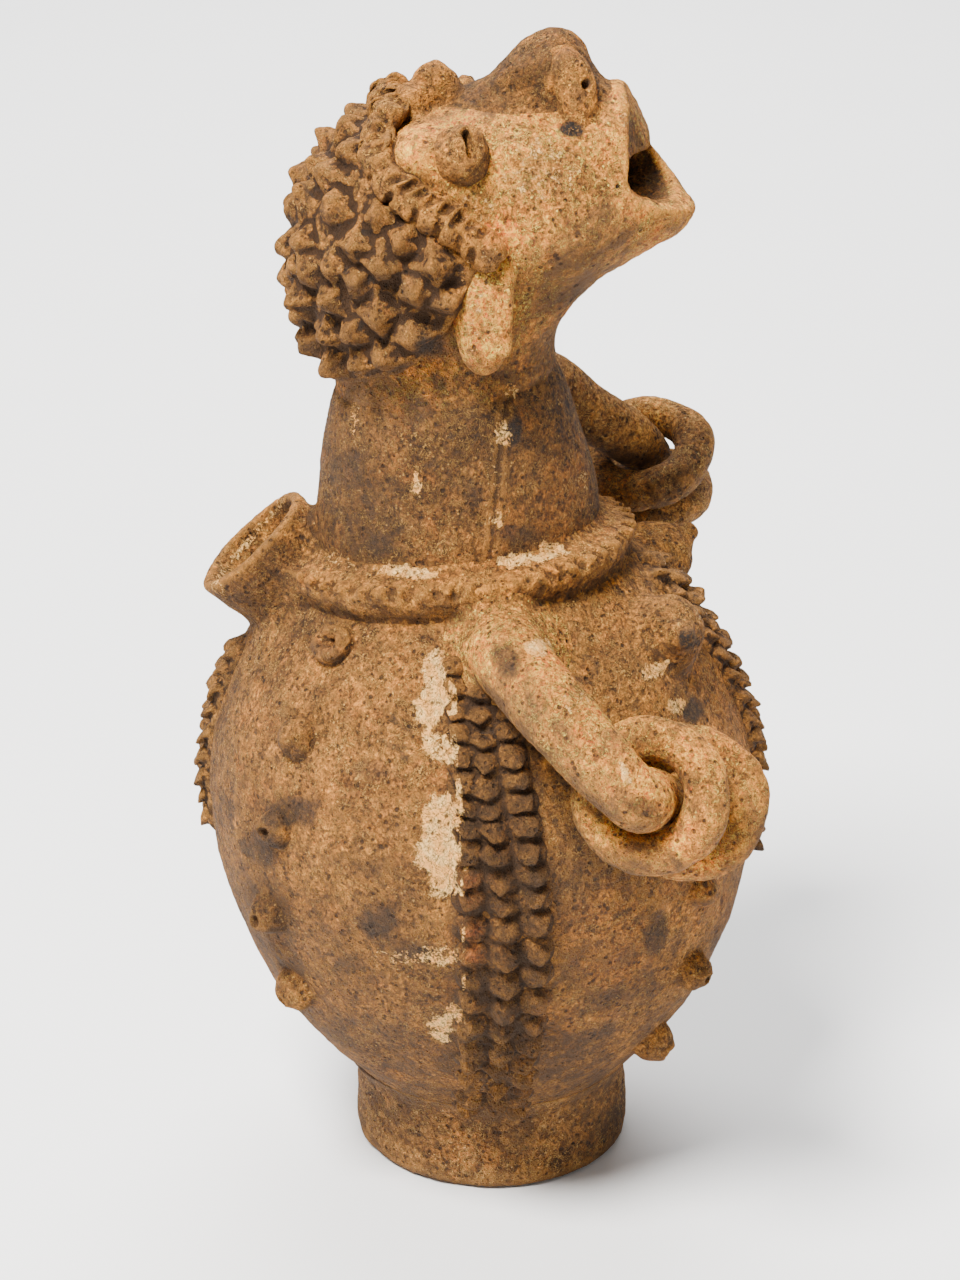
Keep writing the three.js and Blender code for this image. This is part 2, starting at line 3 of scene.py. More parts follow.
import bpy
import numpy as np
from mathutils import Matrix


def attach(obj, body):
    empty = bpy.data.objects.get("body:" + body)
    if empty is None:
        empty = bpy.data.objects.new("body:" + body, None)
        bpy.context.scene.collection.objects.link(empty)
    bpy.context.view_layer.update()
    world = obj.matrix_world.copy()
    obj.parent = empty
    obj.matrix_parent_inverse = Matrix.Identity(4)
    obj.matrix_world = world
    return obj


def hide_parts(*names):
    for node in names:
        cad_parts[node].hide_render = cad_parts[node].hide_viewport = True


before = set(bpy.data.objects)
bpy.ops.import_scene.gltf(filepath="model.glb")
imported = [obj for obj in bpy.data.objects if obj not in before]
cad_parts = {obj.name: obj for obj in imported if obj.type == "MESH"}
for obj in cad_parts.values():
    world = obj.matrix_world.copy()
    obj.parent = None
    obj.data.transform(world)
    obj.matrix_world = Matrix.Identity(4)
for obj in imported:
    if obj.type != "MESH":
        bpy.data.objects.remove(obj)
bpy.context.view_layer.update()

import openvdb as vdb
from mathutils import Vector

# Everything below is worked out in millimetres about the foot's centre line, and moved to the
# row frame in metres when a mesh is made.
SHIFT = np.array([9.088, -2.314, 0.0])
FINE = 1.0  # voxel size factor

# ------------------------------------------------------------------ noise
_table = (np.random.default_rng(11).random((64, 64, 64), dtype=np.float32) * 2 - 1).ravel()


def vn(P, scale, seed=0):
    """Smooth value noise from -1 to 1 at points P, with a feature size of scale mm."""
    q = np.asarray(P, np.float32) / np.float32(scale) + np.float32(seed * 7.37 + 101.3)
    i = np.floor(q).astype(np.int32)
    f = q - i
    f = f * f * (3 - 2 * f)
    i &= 63
    j = (i + 1) & 63
    x0, y0, z0 = i[..., 0] << 12, i[..., 1] << 6, i[..., 2]
    x1, y1, z1 = j[..., 0] << 12, j[..., 1] << 6, j[..., 2]
    fx, fy, fz = f[..., 0], f[..., 1], f[..., 2]
    t = _table
    a = t[x0 + y0 + z0] * (1 - fx) + t[x1 + y0 + z0] * fx
    b = t[x0 + y1 + z0] * (1 - fx) + t[x1 + y1 + z0] * fx
    c = t[x0 + y0 + z1] * (1 - fx) + t[x1 + y0 + z1] * fx
    d = t[x0 + y1 + z1] * (1 - fx) + t[x1 + y1 + z1] * fx
    a = a * (1 - fy) + b * fy
    c = c * (1 - fy) + d * fy
    return a * (1 - fz) + c * fz


def fbm(P, scale, octaves=3, seed=0, gain=0.55):
    out, amp = 0.0, 1.0
    for k in range(octaves):
        out = out + amp * vn(P, scale / 2**k, seed + 3 * k)
        amp *= gain
    return out


def smin(a, b, k):
    h = np.maximum(k - np.abs(a - b), 0.0) / k
    return np.minimum(a, b) - h * h * k * 0.25


def smax(a, b, k):
    return -smin(-a, -b, k)


def step(a, b, x):
    t = np.clip((x - a) / (b - a), 0, 1)
    return t * t * (3 - 2 * t)


def unit(v):
    v = np.asarray(v, float)
    return v / np.linalg.norm(v)


# ------------------------------------------------------------------ camera of the photograph
ELEV = math.radians(23.0)
TARGET = np.array([0.0, 3.4, 237.0])
DIST = 1368.0
EYE = TARGET + DIST * np.array([-math.cos(ELEV), 0.0, math.sin(ELEV)])
FWD = unit(TARGET - EYE)
RIGHT = unit(np.cross(FWD, [0, 0, 1]))
UP = np.cross(RIGHT, FWD)
FOCAL = 3200.0  # pixels, for a 960 x 1280 frame


def project(P):
    d = P - EYE
    w = d @ FWD
    return 480 + FOCAL * (d @ RIGHT) / w, 640 - FOCAL * (d @ UP) / w


def ray(px, py):
    return unit(FWD + RIGHT * (px - 480) / FOCAL - UP * (py - 640) / FOCAL)


def hit(px, py, field, start=1050.0, stop=1600.0):
    """The first point of a field's surface along a pixel's line of sight."""
    d, t = ray(px, py), start
    for _ in range(400):
        v = float(field((EYE + d * t)[None, :])[0])
        if v < 0.02:
            return EYE + d * t
        t += max(v * 0.7, 0.02)
        if t > stop:
            return None
    return EYE + d * t


# ------------------------------------------------------------------ the pot's own shape
BODY = np.array([
    [44, 27], [53.5, 33], [60.5, 40], [70, 50], [81, 63], [91, 77], [100.4, 94.5], [108, 113],
    [113.5, 131], [117, 152], [118.2, 173], [116.4, 194], [111.6, 211.5], [105, 227.5], [96, 243.5],
    [84.5, 258], [74.5, 268], [66, 276]], float)
NECK = np.array([[60.3, 268], [60, 276], [59, 300], [56, 318], [52, 336], [47.5, 352], [43, 361], [40.5, 368]], float)
WALL = 8.5


def smooth_curve(rows, n):
    """Catmull-Rom through rows by chord length, at n even steps."""
    rows = np.asarray(rows, float)
    p = np.vstack([2 * rows[0] - rows[1], rows, 2 * rows[-1] - rows[-2]])
    out = []
    for i in range(1, len(p) - 2):
        t = np.linspace(0, 1, 24, endpoint=False)[:, None]
        a, b, c, d = p[i - 1], p[i], p[i + 1], p[i + 2]
        out.append(0.5 * (2 * b + (c - a) * t + (2 * a - 5 * b + 4 * c - d) * t**2 + (3 * b - a - 3 * c + d) * t**3))
    out = np.vstack(out + [rows[-1][None]])
    s = np.r_[0, np.cumsum(np.linalg.norm(np.diff(out, axis=0), axis=1))]
    q = np.linspace(0, s[-1], n)
    return np.stack([np.interp(q, s, out[:, k]) for k in range(rows.shape[1])], 1)


_bt = smooth_curve(BODY, 900)
_nt = smooth_curve(NECK, 500)


def body_r(z):
    return np.interp(z, _bt[:, 1], _bt[:, 0])


def neck_r(z):
    return np.interp(z, _nt[:, 1], _nt[:, 0])


def drift(z):
    return (-0.9 + 0.024 * (np.minimum(z, 276) - 34) + (7.1 / 3721) * np.clip(z - 215, 0, 61) ** 2
            + 0.065 * np.maximum(z - 276, 0))


def tilt(z):
    t = np.clip((z - 225) / 51, 0, 1)
    return 0.105 * t * t * (3 - 2 * t)


def lean(v):
    z = v[..., 2]
    return np.stack([v[..., 0], v[..., 1] + drift(z), z - tilt(z) * v[..., 1]], -1)


def unlean(v):
    z = v[..., 2].copy()
    for _ in range(4):
        z = v[..., 2] + tilt(z) * (v[..., 1] - drift(z))
    return np.stack([v[..., 0], v[..., 1] - drift(z), z], -1)


def skin(P):
    """Unevenness of hand-worked clay, in mm."""
    return 1.25 * vn(P, 46, 1) + 0.75 * vn(P, 21, 2) + 0.34 * vn(P, 9, 3) + 0.2 * vn(P, 4.4, 4)


def body_f(P, rough=True):
    q = unlean(P)
    z = q[..., 2]
    r = np.hypot(q[..., 0], q[..., 1])
    R = body_r(z)
    s = (body_r(z + 1.5) - body_r(z - 1.5)) / 3
    f = (r - R) / np.sqrt(1 + s * s)
    f = np.where(z > 276, np.maximum(f, z - 276), f)
    f = np.where(z < 27, np.hypot(np.maximum(r - 44, 0), z - 27), f)
    return f - skin(P) if rough else f


def neck_f(P, rough=True):
    q = unlean(P)
    z = q[..., 2]
    r = np.hypot(q[..., 0], q[..., 1])
    s = (neck_r(z + 1.5) - neck_r(z - 1.5)) / 3
    f = (r - neck_r(z)) / np.sqrt(1 + s * s)
    f = np.maximum(f, z - 368)
    return f - 0.8 * skin(P) if rough else f


def on_body(az, z, off=0.0):
    """Point on the body: azimuth 0 is the figure's right, 90 its front."""
    a = math.radians(az)
    r = float(body_r(z))
    s = float(body_r(z + 1.5) - body_r(z - 1.5)) / 3
    n = math.hypot(1, s)
    r += off / n
    return lean(np.array([-r * math.cos(a), -r * math.sin(a), z - off * s / n]))


def out_of(field, p):
    e = 0.6
    g = np.array([field(p[None] + d)[0] - field(p[None] - d)[0] for d in np.eye(3) * e])
    return unit(g)


# ------------------------------------------------------------------ meshes
def vertex_normals(V, Q):
    a, b, c, d = (V[Q[:, k]] for k in range(4))
    n = np.cross(c - a, d - b)
    out = np.zeros_like(V)
    idx = Q.T.ravel()
    for k in range(3):
        out[:, k] = np.bincount(idx, np.tile(n[:, k], 4), len(V))
    return out / np.maximum(np.linalg.norm(out, axis=1), 1e-12)[:, None]


def neighbour_mean(X, Q, n):
    """Mean over the mesh neighbours of each vertex."""
    i = np.concatenate([Q[:, 0], Q[:, 1], Q[:, 2], Q[:, 3], Q[:, 1], Q[:, 2], Q[:, 3], Q[:, 0]])
    j = np.concatenate([Q[:, 1], Q[:, 2], Q[:, 3], Q[:, 0], Q[:, 0], Q[:, 1], Q[:, 2], Q[:, 3]])
    cnt = np.maximum(np.bincount(i, minlength=n), 1)
    if X.ndim == 1:
        return np.bincount(i, X[j], n) / cnt
    return np.stack([np.bincount(i, X[j, k], n) for k in range(X.shape[1])], 1) / cnt[:, None]


def tri_quads(F):
    """Triangles written as quads with a doubled last corner, for the sums above."""
    return np.array([[*f, f[-1]] if len(f) == 3 else f for f in F], np.int64)


# marks as seen by the photograph's camera: kind, x, y, radius x, radius y, turn, strength
MARKS = []


def marks_at(P, N, kind, edge=0.45, noise=11.0, seed=0):
    """Strength at each vertex of the marks of one kind, with a broken edge."""
    u, v = project(P)
    facing = step(0.02, 0.25, -(N @ FWD))
    out = np.zeros(len(P))
    wob = 0.55 * vn(P, noise, 40 + seed) + 0.45 * vn(P, noise / 2.6, 41 + seed)
    for k, x, y, rx, ry, turn, s in MARKS:
        if k != kind:
            continue
        t = math.radians(turn)
        du, dv = u - x, v - y
        a, b = du * math.cos(t) + dv * math.sin(t), -du * math.sin(t) + dv * math.cos(t)
        d = np.sqrt((a / rx) ** 2 + (b / ry) ** 2) + edge * wob
        out = np.maximum(out, s * (1 - step(0.6, 1.15, d)))
    return out * facing


def build(name, V, Q, body="vessel", nodes=(), slot="body_clay", fine=0.16, look=None, tone=(0, 0, 0)):
    """Makes the piece: fine surface grain in the mesh, then the masks that its material reads."""
    V = np.asarray(V, float)
    N = vertex_normals(V, Q)
    if fine:
        V = V + N * (fine * (vn(V, 2.6, 21) + 0.7 * vn(V, 1.5, 22)))[:, None]
        N = vertex_normals(V, Q)
    n = len(V)
    S = V
    cav = []
    for k in range(14):
        S = neighbour_mean(S, Q, n) * 0.7 + S * 0.3
        if k in (1, 5, 13):
            cav.append(np.einsum("ij,ij->i", S - V, N))
    small, mid, wide = cav
    # how deep in a hollow each vertex lies; the material darkens hollows with it as painted shade
    hollow = np.clip(0.5 + 1.1 * small + 0.55 * mid + 0.28 * wide, 0, 1)
    slip = marks_at(V, N, "slip", 0.75, 9.0, 0)
    soot_and_shade = marks_at(V, N, "soot_and_shade", 0.5, 10.0, 5)
    warm = marks_at(V, N, "warm", 0.4, 14.0, 9)
    dark_and_shade = marks_at(V, N, "dark_and_shade", 0.35, 24.0, 13)
    # painted shade on faces turned downwards, added to the darker marks
    under = step(0.30, -0.60, N[:, 2] + 0.20 * vn(V, 30, 17)) * (0.62 + 0.25 * vn(V, 14, 18))
    dark_and_shade = np.clip(dark_and_shade + under, 0, 1)
    me = bpy.data.meshes.new(name)
    W = (V + SHIFT) * 0.001
    tri = Q[:, 3] == Q[:, 2]
    loops = np.where(tri, 3, 4)
    flat = Q.ravel()[np.column_stack([np.ones((len(Q), 3), bool), ~tri]).ravel()]
    me.vertices.add(n)
    me.vertices.foreach_set("co", W.astype(np.float32).ravel())
    me.loops.add(len(flat))
    me.loops.foreach_set("vertex_index", flat.astype(np.int32))
    me.polygons.add(len(Q))
    me.polygons.foreach_set("loop_start", np.r_[0, np.cumsum(loops)[:-1]].astype(np.int32))
    me.polygons.foreach_set("use_smooth", np.ones(len(Q), bool))
    me.update(calc_edges=True)
    me.validate()
    marks = me.color_attributes.new("marks", "FLOAT_COLOR", "POINT")
    marks.data.foreach_set("color", np.stack([slip, soot_and_shade, warm, dark_and_shade], 1).astype(np.float32).ravel())
    form = me.color_attributes.new("form", "FLOAT_COLOR", "POINT")
    t = np.broadcast_to(np.asarray(tone(V) if callable(tone) else tone, float), (n, 3))
    form.data.foreach_set("color", np.stack([hollow, t[:, 0], t[:, 1], np.ones(n)], 1).astype(np.float32).ravel())
    ob = bpy.data.objects.new(name, me)
    bpy.context.scene.collection.objects.link(ob)
    me.materials.append(look or CLAY)
    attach(ob, body)
    if nodes:
        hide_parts(*nodes)
    return ob


class Vol:
    """A block of distances in mm on a regular grid."""

    def __init__(self, lo, hi, h):
        self.h = h * FINE
        self.lo = np.asarray(lo, float)
        self.n = np.ceil((np.asarray(hi, float) - self.lo) / self.h).astype(int) + 1
        self.A = np.full(tuple(self.n), 30.0, np.float32)

    def points(self, a=None, b=None):
        a = np.zeros(3, int) if a is None else a
        b = self.n if b is None else b
        ax = [self.lo[k] + self.h * np.arange(a[k], b[k]) for k in range(3)]
        X, Y, Z = np.meshgrid(*ax, indexing="ij")
        return np.stack([X, Y, Z], -1).astype(np.float32)

    def sample(self, fn):
        """A field over the whole block, in slabs."""
        out = np.empty(tuple(self.n), np.float32)
        m = max(1, int(900000 // (self.n[1] * self.n[2])))
        for i in range(0, self.n[0], m):
            j = min(i + m, self.n[0])
            out[i:j] = fn(self.points(np.array([i, 0, 0]), np.array([j, self.n[1], self.n[2]])))
        return out

    def stamp(self, c, reach, fn, k=0.0, mode="add"):
        """Joins or cuts a small shape round a point."""
        c = np.asarray(c, float)
        a = np.clip(np.floor((c - reach - self.lo) / self.h).astype(int), 0, self.n)
        b = np.clip(np.ceil((c + reach - self.lo) / self.h).astype(int) + 1, 0, self.n)
        if (b <= a).any():
            return
        s = tuple(slice(a[i], b[i]) for i in range(3))
        v = fn(self.points(a, b))
        if mode == "add":
            self.A[s] = smin(self.A[s], v, k) if k else np.minimum(self.A[s], v)
        else:
            self.A[s] = smax(self.A[s], -v, k) if k else np.maximum(self.A[s], -v)

    def mesh(self):
        A = self.A
        for ax in range(3):  # the block's faces are outside
            i = [slice(None)] * 3
            for e in (0, -1):
                i[ax] = e
                A[tuple(i)] = np.maximum(A[tuple(i)], 1.0)
        g = vdb.FloatGrid(30.0)
        g.copyFromArray(np.clip(A, -30, 30))
        pts, quads = g.convertToQuads(0.0)
        V = np.asarray(pts, float) * self.h + self.lo
        Q = np.asarray(quads, np.int64)
        V, Q = largest(V, Q)
        a, b, c, d = (V[Q[:, k]] for k in range(4))
        vol = np.einsum("ij,ij->", np.cross(b - a, c - a), a) + np.einsum("ij,ij->", np.cross(c - a, d - a), a)
        if vol < 0:
            Q = Q[:, ::-1].copy()
        return V, Q


def largest(V, Q):
    """Keeps the largest connected shell and drops crumbs."""
    n = len(V)
    lab = np.arange(n)
    for _ in range(400):
        m = lab[Q].min(1)
        new = lab.copy()
        for k in range(4):
            np.minimum.at(new, Q[:, k], m)
        new = new[new]
        new = new[new]
        if (new == lab).all():
            break
        lab = new
    ids, cnt = np.unique(lab[Q[:, 0]], return_counts=True)
    keep = ids[cnt >= max(60, 0.02 * cnt.max())]
    keep = ids[cnt == cnt.max()][:1] if len(keep) > 1 and cnt.max() > 50 * np.sort(cnt)[-2] else keep
    Q = Q[np.isin(lab[Q[:, 0]], keep)]
    used = np.unique(Q)
    back = np.full(n, -1)
    back[used] = np.arange(len(used))
    return V[used], back[Q]


def ellipsoid(P, c, r, M=None):
    d = P - np.asarray(c, np.float32)
    if M is not None:
        d = d @ np.asarray(M, np.float32)
    r = np.asarray(r, np.float32)
    k0 = np.linalg.norm(d / r, axis=-1)
    k1 = np.linalg.norm(d / (r * r), axis=-1)
    return k0 * (k0 - 1) / np.maximum(k1, 1e-6)


def capsule(P, a, b, ra, rb):
    a, b = np.asarray(a, np.float32), np.asarray(b, np.float32)
    d = b - a
    t = np.clip(((P - a) @ d) / float(d @ d), 0, 1)
    return np.linalg.norm(P - a - t[..., None] * d, axis=-1) - (ra + (rb - ra) * t)


def axes_of(z, x=(0, 0, 1)):
    """Columns x, y, z of a frame whose z is given."""
    z = unit(z)
    x = np.asarray(x, float)
    x = unit(x - z * (x @ z))
    return np.stack([x, np.cross(z, x), z], 1)


def grid_mesh(rings, closed_v=False):
    """Quads over rings of equal length, each ring closed."""
    m, n = len(rings), len(rings[0])
    V = np.vstack(rings)
    i = np.arange(n)
    j = (i + 1) % n
    Q = []
    for r in range(m if closed_v else m - 1):
        s = (r + 1) % m
        Q.append(np.stack([r * n + i, r * n + j, s * n + j, s * n + i], 1))
    return V, np.vstack(Q)


def outward(V, Q):
    a, b, c, d = (V[Q[:, k]] for k in range(4))
    vol = np.einsum("ij,ij->", np.cross(b - a, c - a), a) + np.einsum("ij,ij->", np.cross(c - a, d - a), a)
    return V, (Q if vol > 0 else Q[:, ::-1].copy())


def turned(profile, n, shape=lean):
    """A closed profile [r, z] turned round the leaning axis."""
    a = np.arange(n) / n * 2 * math.pi
    rings = []
    for r, z in profile:
        v = np.stack([r * np.cos(a), r * np.sin(a), np.full(n, z)], 1)
        rings.append(shape(v))
    return rings


# ------------------------------------------------------------------ materials
class Graph:
    """Short hand for wiring a material's nodes."""

    def __init__(self, name):
        self.mat = bpy.data.materials.new(name)
        self.mat.use_nodes = True
        self.t = self.mat.node_tree
        self.t.nodes.clear()

    def node(self, kind, **props):
        n = self.t.nodes.new(kind)
        for k, v in props.items():
            setattr(n, k, v)
        return n

    def put(self, socket, value):
        if isinstance(value, bpy.types.NodeSocket):
            self.t.links.new(value, socket)
        elif value is not None:
            if socket.type == "RGBA" and len(value) == 3:
                value = (*value, 1.0)
            socket.default_value = value

    def math(self, op, a, b=None, c=None, clamp=False):
        n = self.node("ShaderNodeMath", operation=op, use_clamp=clamp)
        for s, v in zip(n.inputs, (a, b, c)):
            self.put(s, v)
        return n.outputs[0]

    def noise(self, vec, scale, detail=3.0, rough=0.55, distort=0.0, lac=2.0):
        n = self.node("ShaderNodeTexNoise", noise_dimensions="3D")
        self.put(n.inputs["Vector"], vec)
        for k, v in (("Scale", scale), ("Detail", detail), ("Roughness", rough), ("Lacunarity", lac), ("Distortion", distort)):
            n.inputs[k].default_value = v
        return n.outputs["Fac"]

    def cells(self, vec, scale, feature="F1", random=1.0):
        n = self.node("ShaderNodeTexVoronoi", feature=feature)
        self.put(n.inputs["Vector"], vec)
        n.inputs["Scale"].default_value = scale
        n.inputs["Randomness"].default_value = random
        return n.outputs

    def ramp(self, fac, stops, mode="LINEAR"):
        n = self.node("ShaderNodeValToRGB")
        n.color_ramp.interpolation = mode
        e = n.color_ramp.elements
        while len(e) < len(stops):
            e.new(0.5)
        for k, (p, c) in enumerate(stops):
            e[k].position = p
            e[k].color = (*c, 1) if hasattr(c, "__len__") else (c, c, c, 1)
        self.put(n.inputs[0], fac)
        return n.outputs[0]

    def span(self, x, a, b, lo=0.0, hi=1.0, smooth=True):
        n = self.node("ShaderNodeMapRange", interpolation_type="SMOOTHSTEP" if smooth else "LINEAR")
        for s, v in zip(n.inputs, (x, a, b, lo, hi)):
            self.put(s, v)
        return n.outputs[0]

    def mix(self, fac, a, b, blend="MIX"):
        n = self.node("ShaderNodeMix", data_type="RGBA", blend_type=blend, clamp_factor=True)
        self.put(n.inputs[0], fac)
        self.put(n.inputs[6], a)
        self.put(n.inputs[7], b)
        return n.outputs[2]

    def bump(self, height, distance, strength=1.0, normal=None):
        n = self.node("ShaderNodeBump")
        n.inputs["Strength"].default_value = strength
        n.inputs["Distance"].default_value = distance
        self.put(n.inputs["Height"], height)
        if normal is not None:
            self.put(n.inputs["Normal"], normal)
        return n.outputs[0]


def terracotta(name, base=1.0, warmth=0.0, flecks=1.0, hollow_shade=1.0, grey=0.0, pale=0.0, seed=0.0, rich=0.0):
    """Coarse low-fired clay: mottled ochre and brown, light grit, pores, soot and chalky slip."""
    g = Graph(name)
    coord = g.node("ShaderNodeTexCoord").outputs["Object"]
    m = g.node("ShaderNodeMapping")
    m.inputs["Scale"].default_value = (1000.0, 1000.0, 1000.0)
    m.inputs["Location"].default_value = (seed * 37.0, seed * 19.0, seed * 53.0)
    g.put(m.inputs["Vector"], coord)
    P = m.outputs[0]
    marks = g.node("ShaderNodeAttribute", attribute_name="marks", attribute_type="GEOMETRY")
    form = g.node("ShaderNodeAttribute", attribute_name="form", attribute_type="GEOMETRY")
    s = g.node("ShaderNodeSeparateColor")
    g.put(s.inputs[0], marks.outputs["Color"])
    slip, soot_and_shade, warm = s.outputs[0], s.outputs[1], s.outputs[2]
    dark_and_shade = marks.outputs["Alpha"]
    f = g.node("ShaderNodeSeparateColor")
    g.put(f.inputs[0], form.outputs["Color"])
    hollow, shade_and_tone, red = f.outputs[0], f.outputs[1], f.outputs[2]

    broad = g.noise(P, 1 / 42, 4.0, 0.6, 0.4)
    patch = g.noise(P, 1 / 13, 5.0, 0.62, 0.6)
    blot = g.noise(P, 1 / 5.2, 4.0, 0.65, 0.8)
    grain = g.noise(P, 1 / 1.5, 4.0, 0.68, 0.3)
    grit = g.noise(P, 1 / 0.62, 2.0, 0.6)
    crumb = g.noise(P, 1 / 2.5, 3.0, 0.62, 0.9)
    k = base
    # mottled ground
    tone = g.math("ADD", g.math("MULTIPLY", broad, 0.66), g.math("MULTIPLY", patch, 0.62))
    tone = g.math("SUBTRACT", tone, 0.14)
    # the form attribute's second channel darkens the ground: painted shade under the jaw, on the neck and in the mouth,
    # and darker tone on some features
    tone = g.math("SUBTRACT", tone, g.math("MULTIPLY", shade_and_tone, 0.22))
    ground = g.ramp(tone, [
        (0.30, (0.070 * k, 0.033 * k, 0.0125 * k)),
        (0.42, (0.150 * k, 0.070 * k, 0.0240 * k)),
        (0.51, (0.260 * k, 0.121 * k, 0.0360 * k)),
        (0.60, (0.370 * k, 0.172 * k, 0.0450 * k)),
        (0.72, (0.470 * k, 0.235 * k, 0.0640 * k))])
    # orange and grey drifts
    orange = g.span(g.noise(P, 1 / 21, 3.0, 0.6, 0.5), 0.52, 0.70)
    orange = g.math("ADD", g.math("MULTIPLY", orange, 0.42 + warmth), g.math("MULTIPLY", warm, 0.9), clamp=True)
    c = g.mix(orange, ground, (0.43 * k, 0.165 * k, 0.036 * k))
    greys = g.span(g.noise(P, 1 / 17, 4.0, 0.65, 0.7), 0.56, 0.68, 0.0, 0.35 + grey)
    c = g.mix(greys, c, (0.118 * k, 0.074 * k, 0.040 * k))
    c = g.mix(g.math("MULTIPLY", red, 0.8), c, (0.42, 0.10, 0.035))
    # finer blotches and grain
    c = g.mix(0.75, c, g.ramp(blot, [(0.32, 0.18), (0.50, 0.50), (0.68, 0.82)]), "OVERLAY")
    c = g.mix(0.90, c, g.ramp(grain, [(0.34, 0.12), (0.50, 0.50), (0.65, 0.88)]), "OVERLAY")
    c = g.mix(0.85, c, g.ramp(crumb, [(0.36, 0.14), (0.49, 0.50), (0.63, 0.88)]), "OVERLAY")
    c = g.mix(0.45, c, g.ramp(grit, [(0.34, 0.20), (0.66, 0.80)]), "OVERLAY")
    # light curled grit showing at the surface, each curl with a dark edge
    def pale_tone(r, g_, b):
        return tuple(min(x * k, 0.92) for x in (r, g_, b))

    calm = g.span(shade_and_tone, 0.30, 1.10, 1.0, 0.30)  # fewer light grains where the clay is darkened by painted shade and darker tone
    worm = None
    for size, twist, lo, hi, amount in ((3.4, 1.6, 0.44, 0.55, 1.0), (2.1, 1.2, 0.50, 0.58, 0.8)):
        d = g.math("ABSOLUTE", g.math("SUBTRACT", g.noise(P, 1 / size, 2.0, 0.5, twist), 0.5))
        gate = g.math("MULTIPLY", g.span(g.noise(P, 1 / (size * 1.5), 3.0, 0.6), lo, hi), g.span(g.noise(P, 1 / 30, 2.0), 0.38, 0.60, 0.4, amount))
        rim = g.math("MULTIPLY", g.span(d, 0.030, 0.050), g.span(d, 0.100, 0.065))
        c = g.mix(g.math("MULTIPLY", g.math("MULTIPLY", rim, gate), 0.50), c, (0.060 * k, 0.030 * k, 0.012 * k))
        w = g.math("MULTIPLY", g.span(d, 0.011, 0.030, 1.0, 0.0), gate)
        c = g.mix(g.math("MULTIPLY", g.math("MULTIPLY", w, calm), 0.80 * flecks), c, pale_tone(0.76, 0.47, 0.17))
        worm = w if worm is None else g.math("MAXIMUM", worm, w)
    # pale grains
    v = g.cells(P, 1 / 2.1)
    fleck = g.math("MULTIPLY", g.span(v[0], 0.16, 0.30, 1.0, 0.0), g.span(g.noise(P, 1 / 4.2, 2.0), 0.54, 0.62))
    c = g.mix(g.math("MULTIPLY", g.math("MULTIPLY", fleck, calm), 0.75 * flecks), c, pale_tone(0.76, 0.49, 0.20))
    # painted shade in the hollows, high places are rubbed
    low = g.span(hollow, 0.52 - 0.12 * (hollow_shade - 1), 0.86 - 0.32 * (hollow_shade - 1))
    c = g.mix(g.math("MULTIPLY", low, 0.78 * hollow_shade), c, (0.055 * k, 0.027 * k, 0.011 * k))
    high = g.span(hollow, 0.46, 0.20)
    c = g.mix(g.math("MULTIPLY", high, 0.36), c, (0.48 * k, 0.240 * k, 0.066 * k))
    c = g.mix(rich, c, g.mix(1.0, c, (1.12, 0.90, 0.42), "MULTIPLY"))
    # darker clay with painted shade, then soot with two painted shadow spots
    c = g.mix(g.math("MULTIPLY", dark_and_shade, g.span(patch, 0.36, 0.62, 1.0, 0.55)), c, (0.080 * k, 0.039 * k, 0.015 * k))
    sootn = g.math("MULTIPLY", g.span(patch, 0.59, 0.67), g.span(grain, 0.36, 0.56, 0.45, 1.0))
    sootn = g.math("MULTIPLY", sootn, 0.74)
    mark = g.math("MULTIPLY", soot_and_shade, g.span(grain, 0.34, 0.54, 0.45, 1.0))
    c = g.mix(g.math("MAXIMUM", sootn, mark), c, (0.028, 0.020, 0.015))
    # chalky slip, broken and crusted
    crust = g.math("ADD", g.math("MULTIPLY", g.noise(P, 1 / 2.6, 4.0, 0.7, 0.9), 0.6), g.math("MULTIPLY", grain, 0.4))
    chalk = g.math("ADD", slip, pale)
    cover = g.span(g.math("ADD", chalk, g.math("MULTIPLY", g.math("SUBTRACT", crust, 0.5), 3.2)), 0.46, 0.66)
    cover = g.math("MULTIPLY", cover, g.span(chalk, 0.02, 0.25))
    net = g.math("ABSOLUTE", g.math("SUBTRACT", g.noise(P, 1 / 4.2, 3.0, 0.6, 1.4), 0.5))
    net = g.span(net, 0.004, 0.030, 0.10, 1.0)
    cover = g.math("MULTIPLY", cover, net)
    tint = g.mix(g.span(g.noise(P, 1 / 5, 3.0), 0.40, 0.60), (1.0, 0.47, 0.115), (1.0, 0.60, 0.20))
    c = g.mix(g.math("MULTIPLY", cover, g.span(grain, 0.34, 0.50, 0.60, 1.0)), c, tint)
    # pores
    p1 = g.cells(P, 1 / 3.3)
    size = g.noise(P, 1 / 6.0, 2.0)
    pore = g.span(p1[0], g.span(size, 0.48, 0.72, 0.02, 0.30), 0.34, 1.0, 0.0)
    pore = g.math("MULTIPLY", pore, g.span(size, 0.46, 0.56))
    p2 = g.cells(P, 1 / 1.5)
    pin = g.math("MULTIPLY", g.span(p2[0], 0.10, 0.26, 1.0, 0.0), g.span(g.noise(P, 1 / 3.0, 2.0), 0.52, 0.60))
    holes = g.math("MAXIMUM", pore, g.math("MULTIPLY", pin, 0.8))
    c = g.mix(g.math("MULTIPLY", holes, 0.78), c, (0.030, 0.015, 0.007))

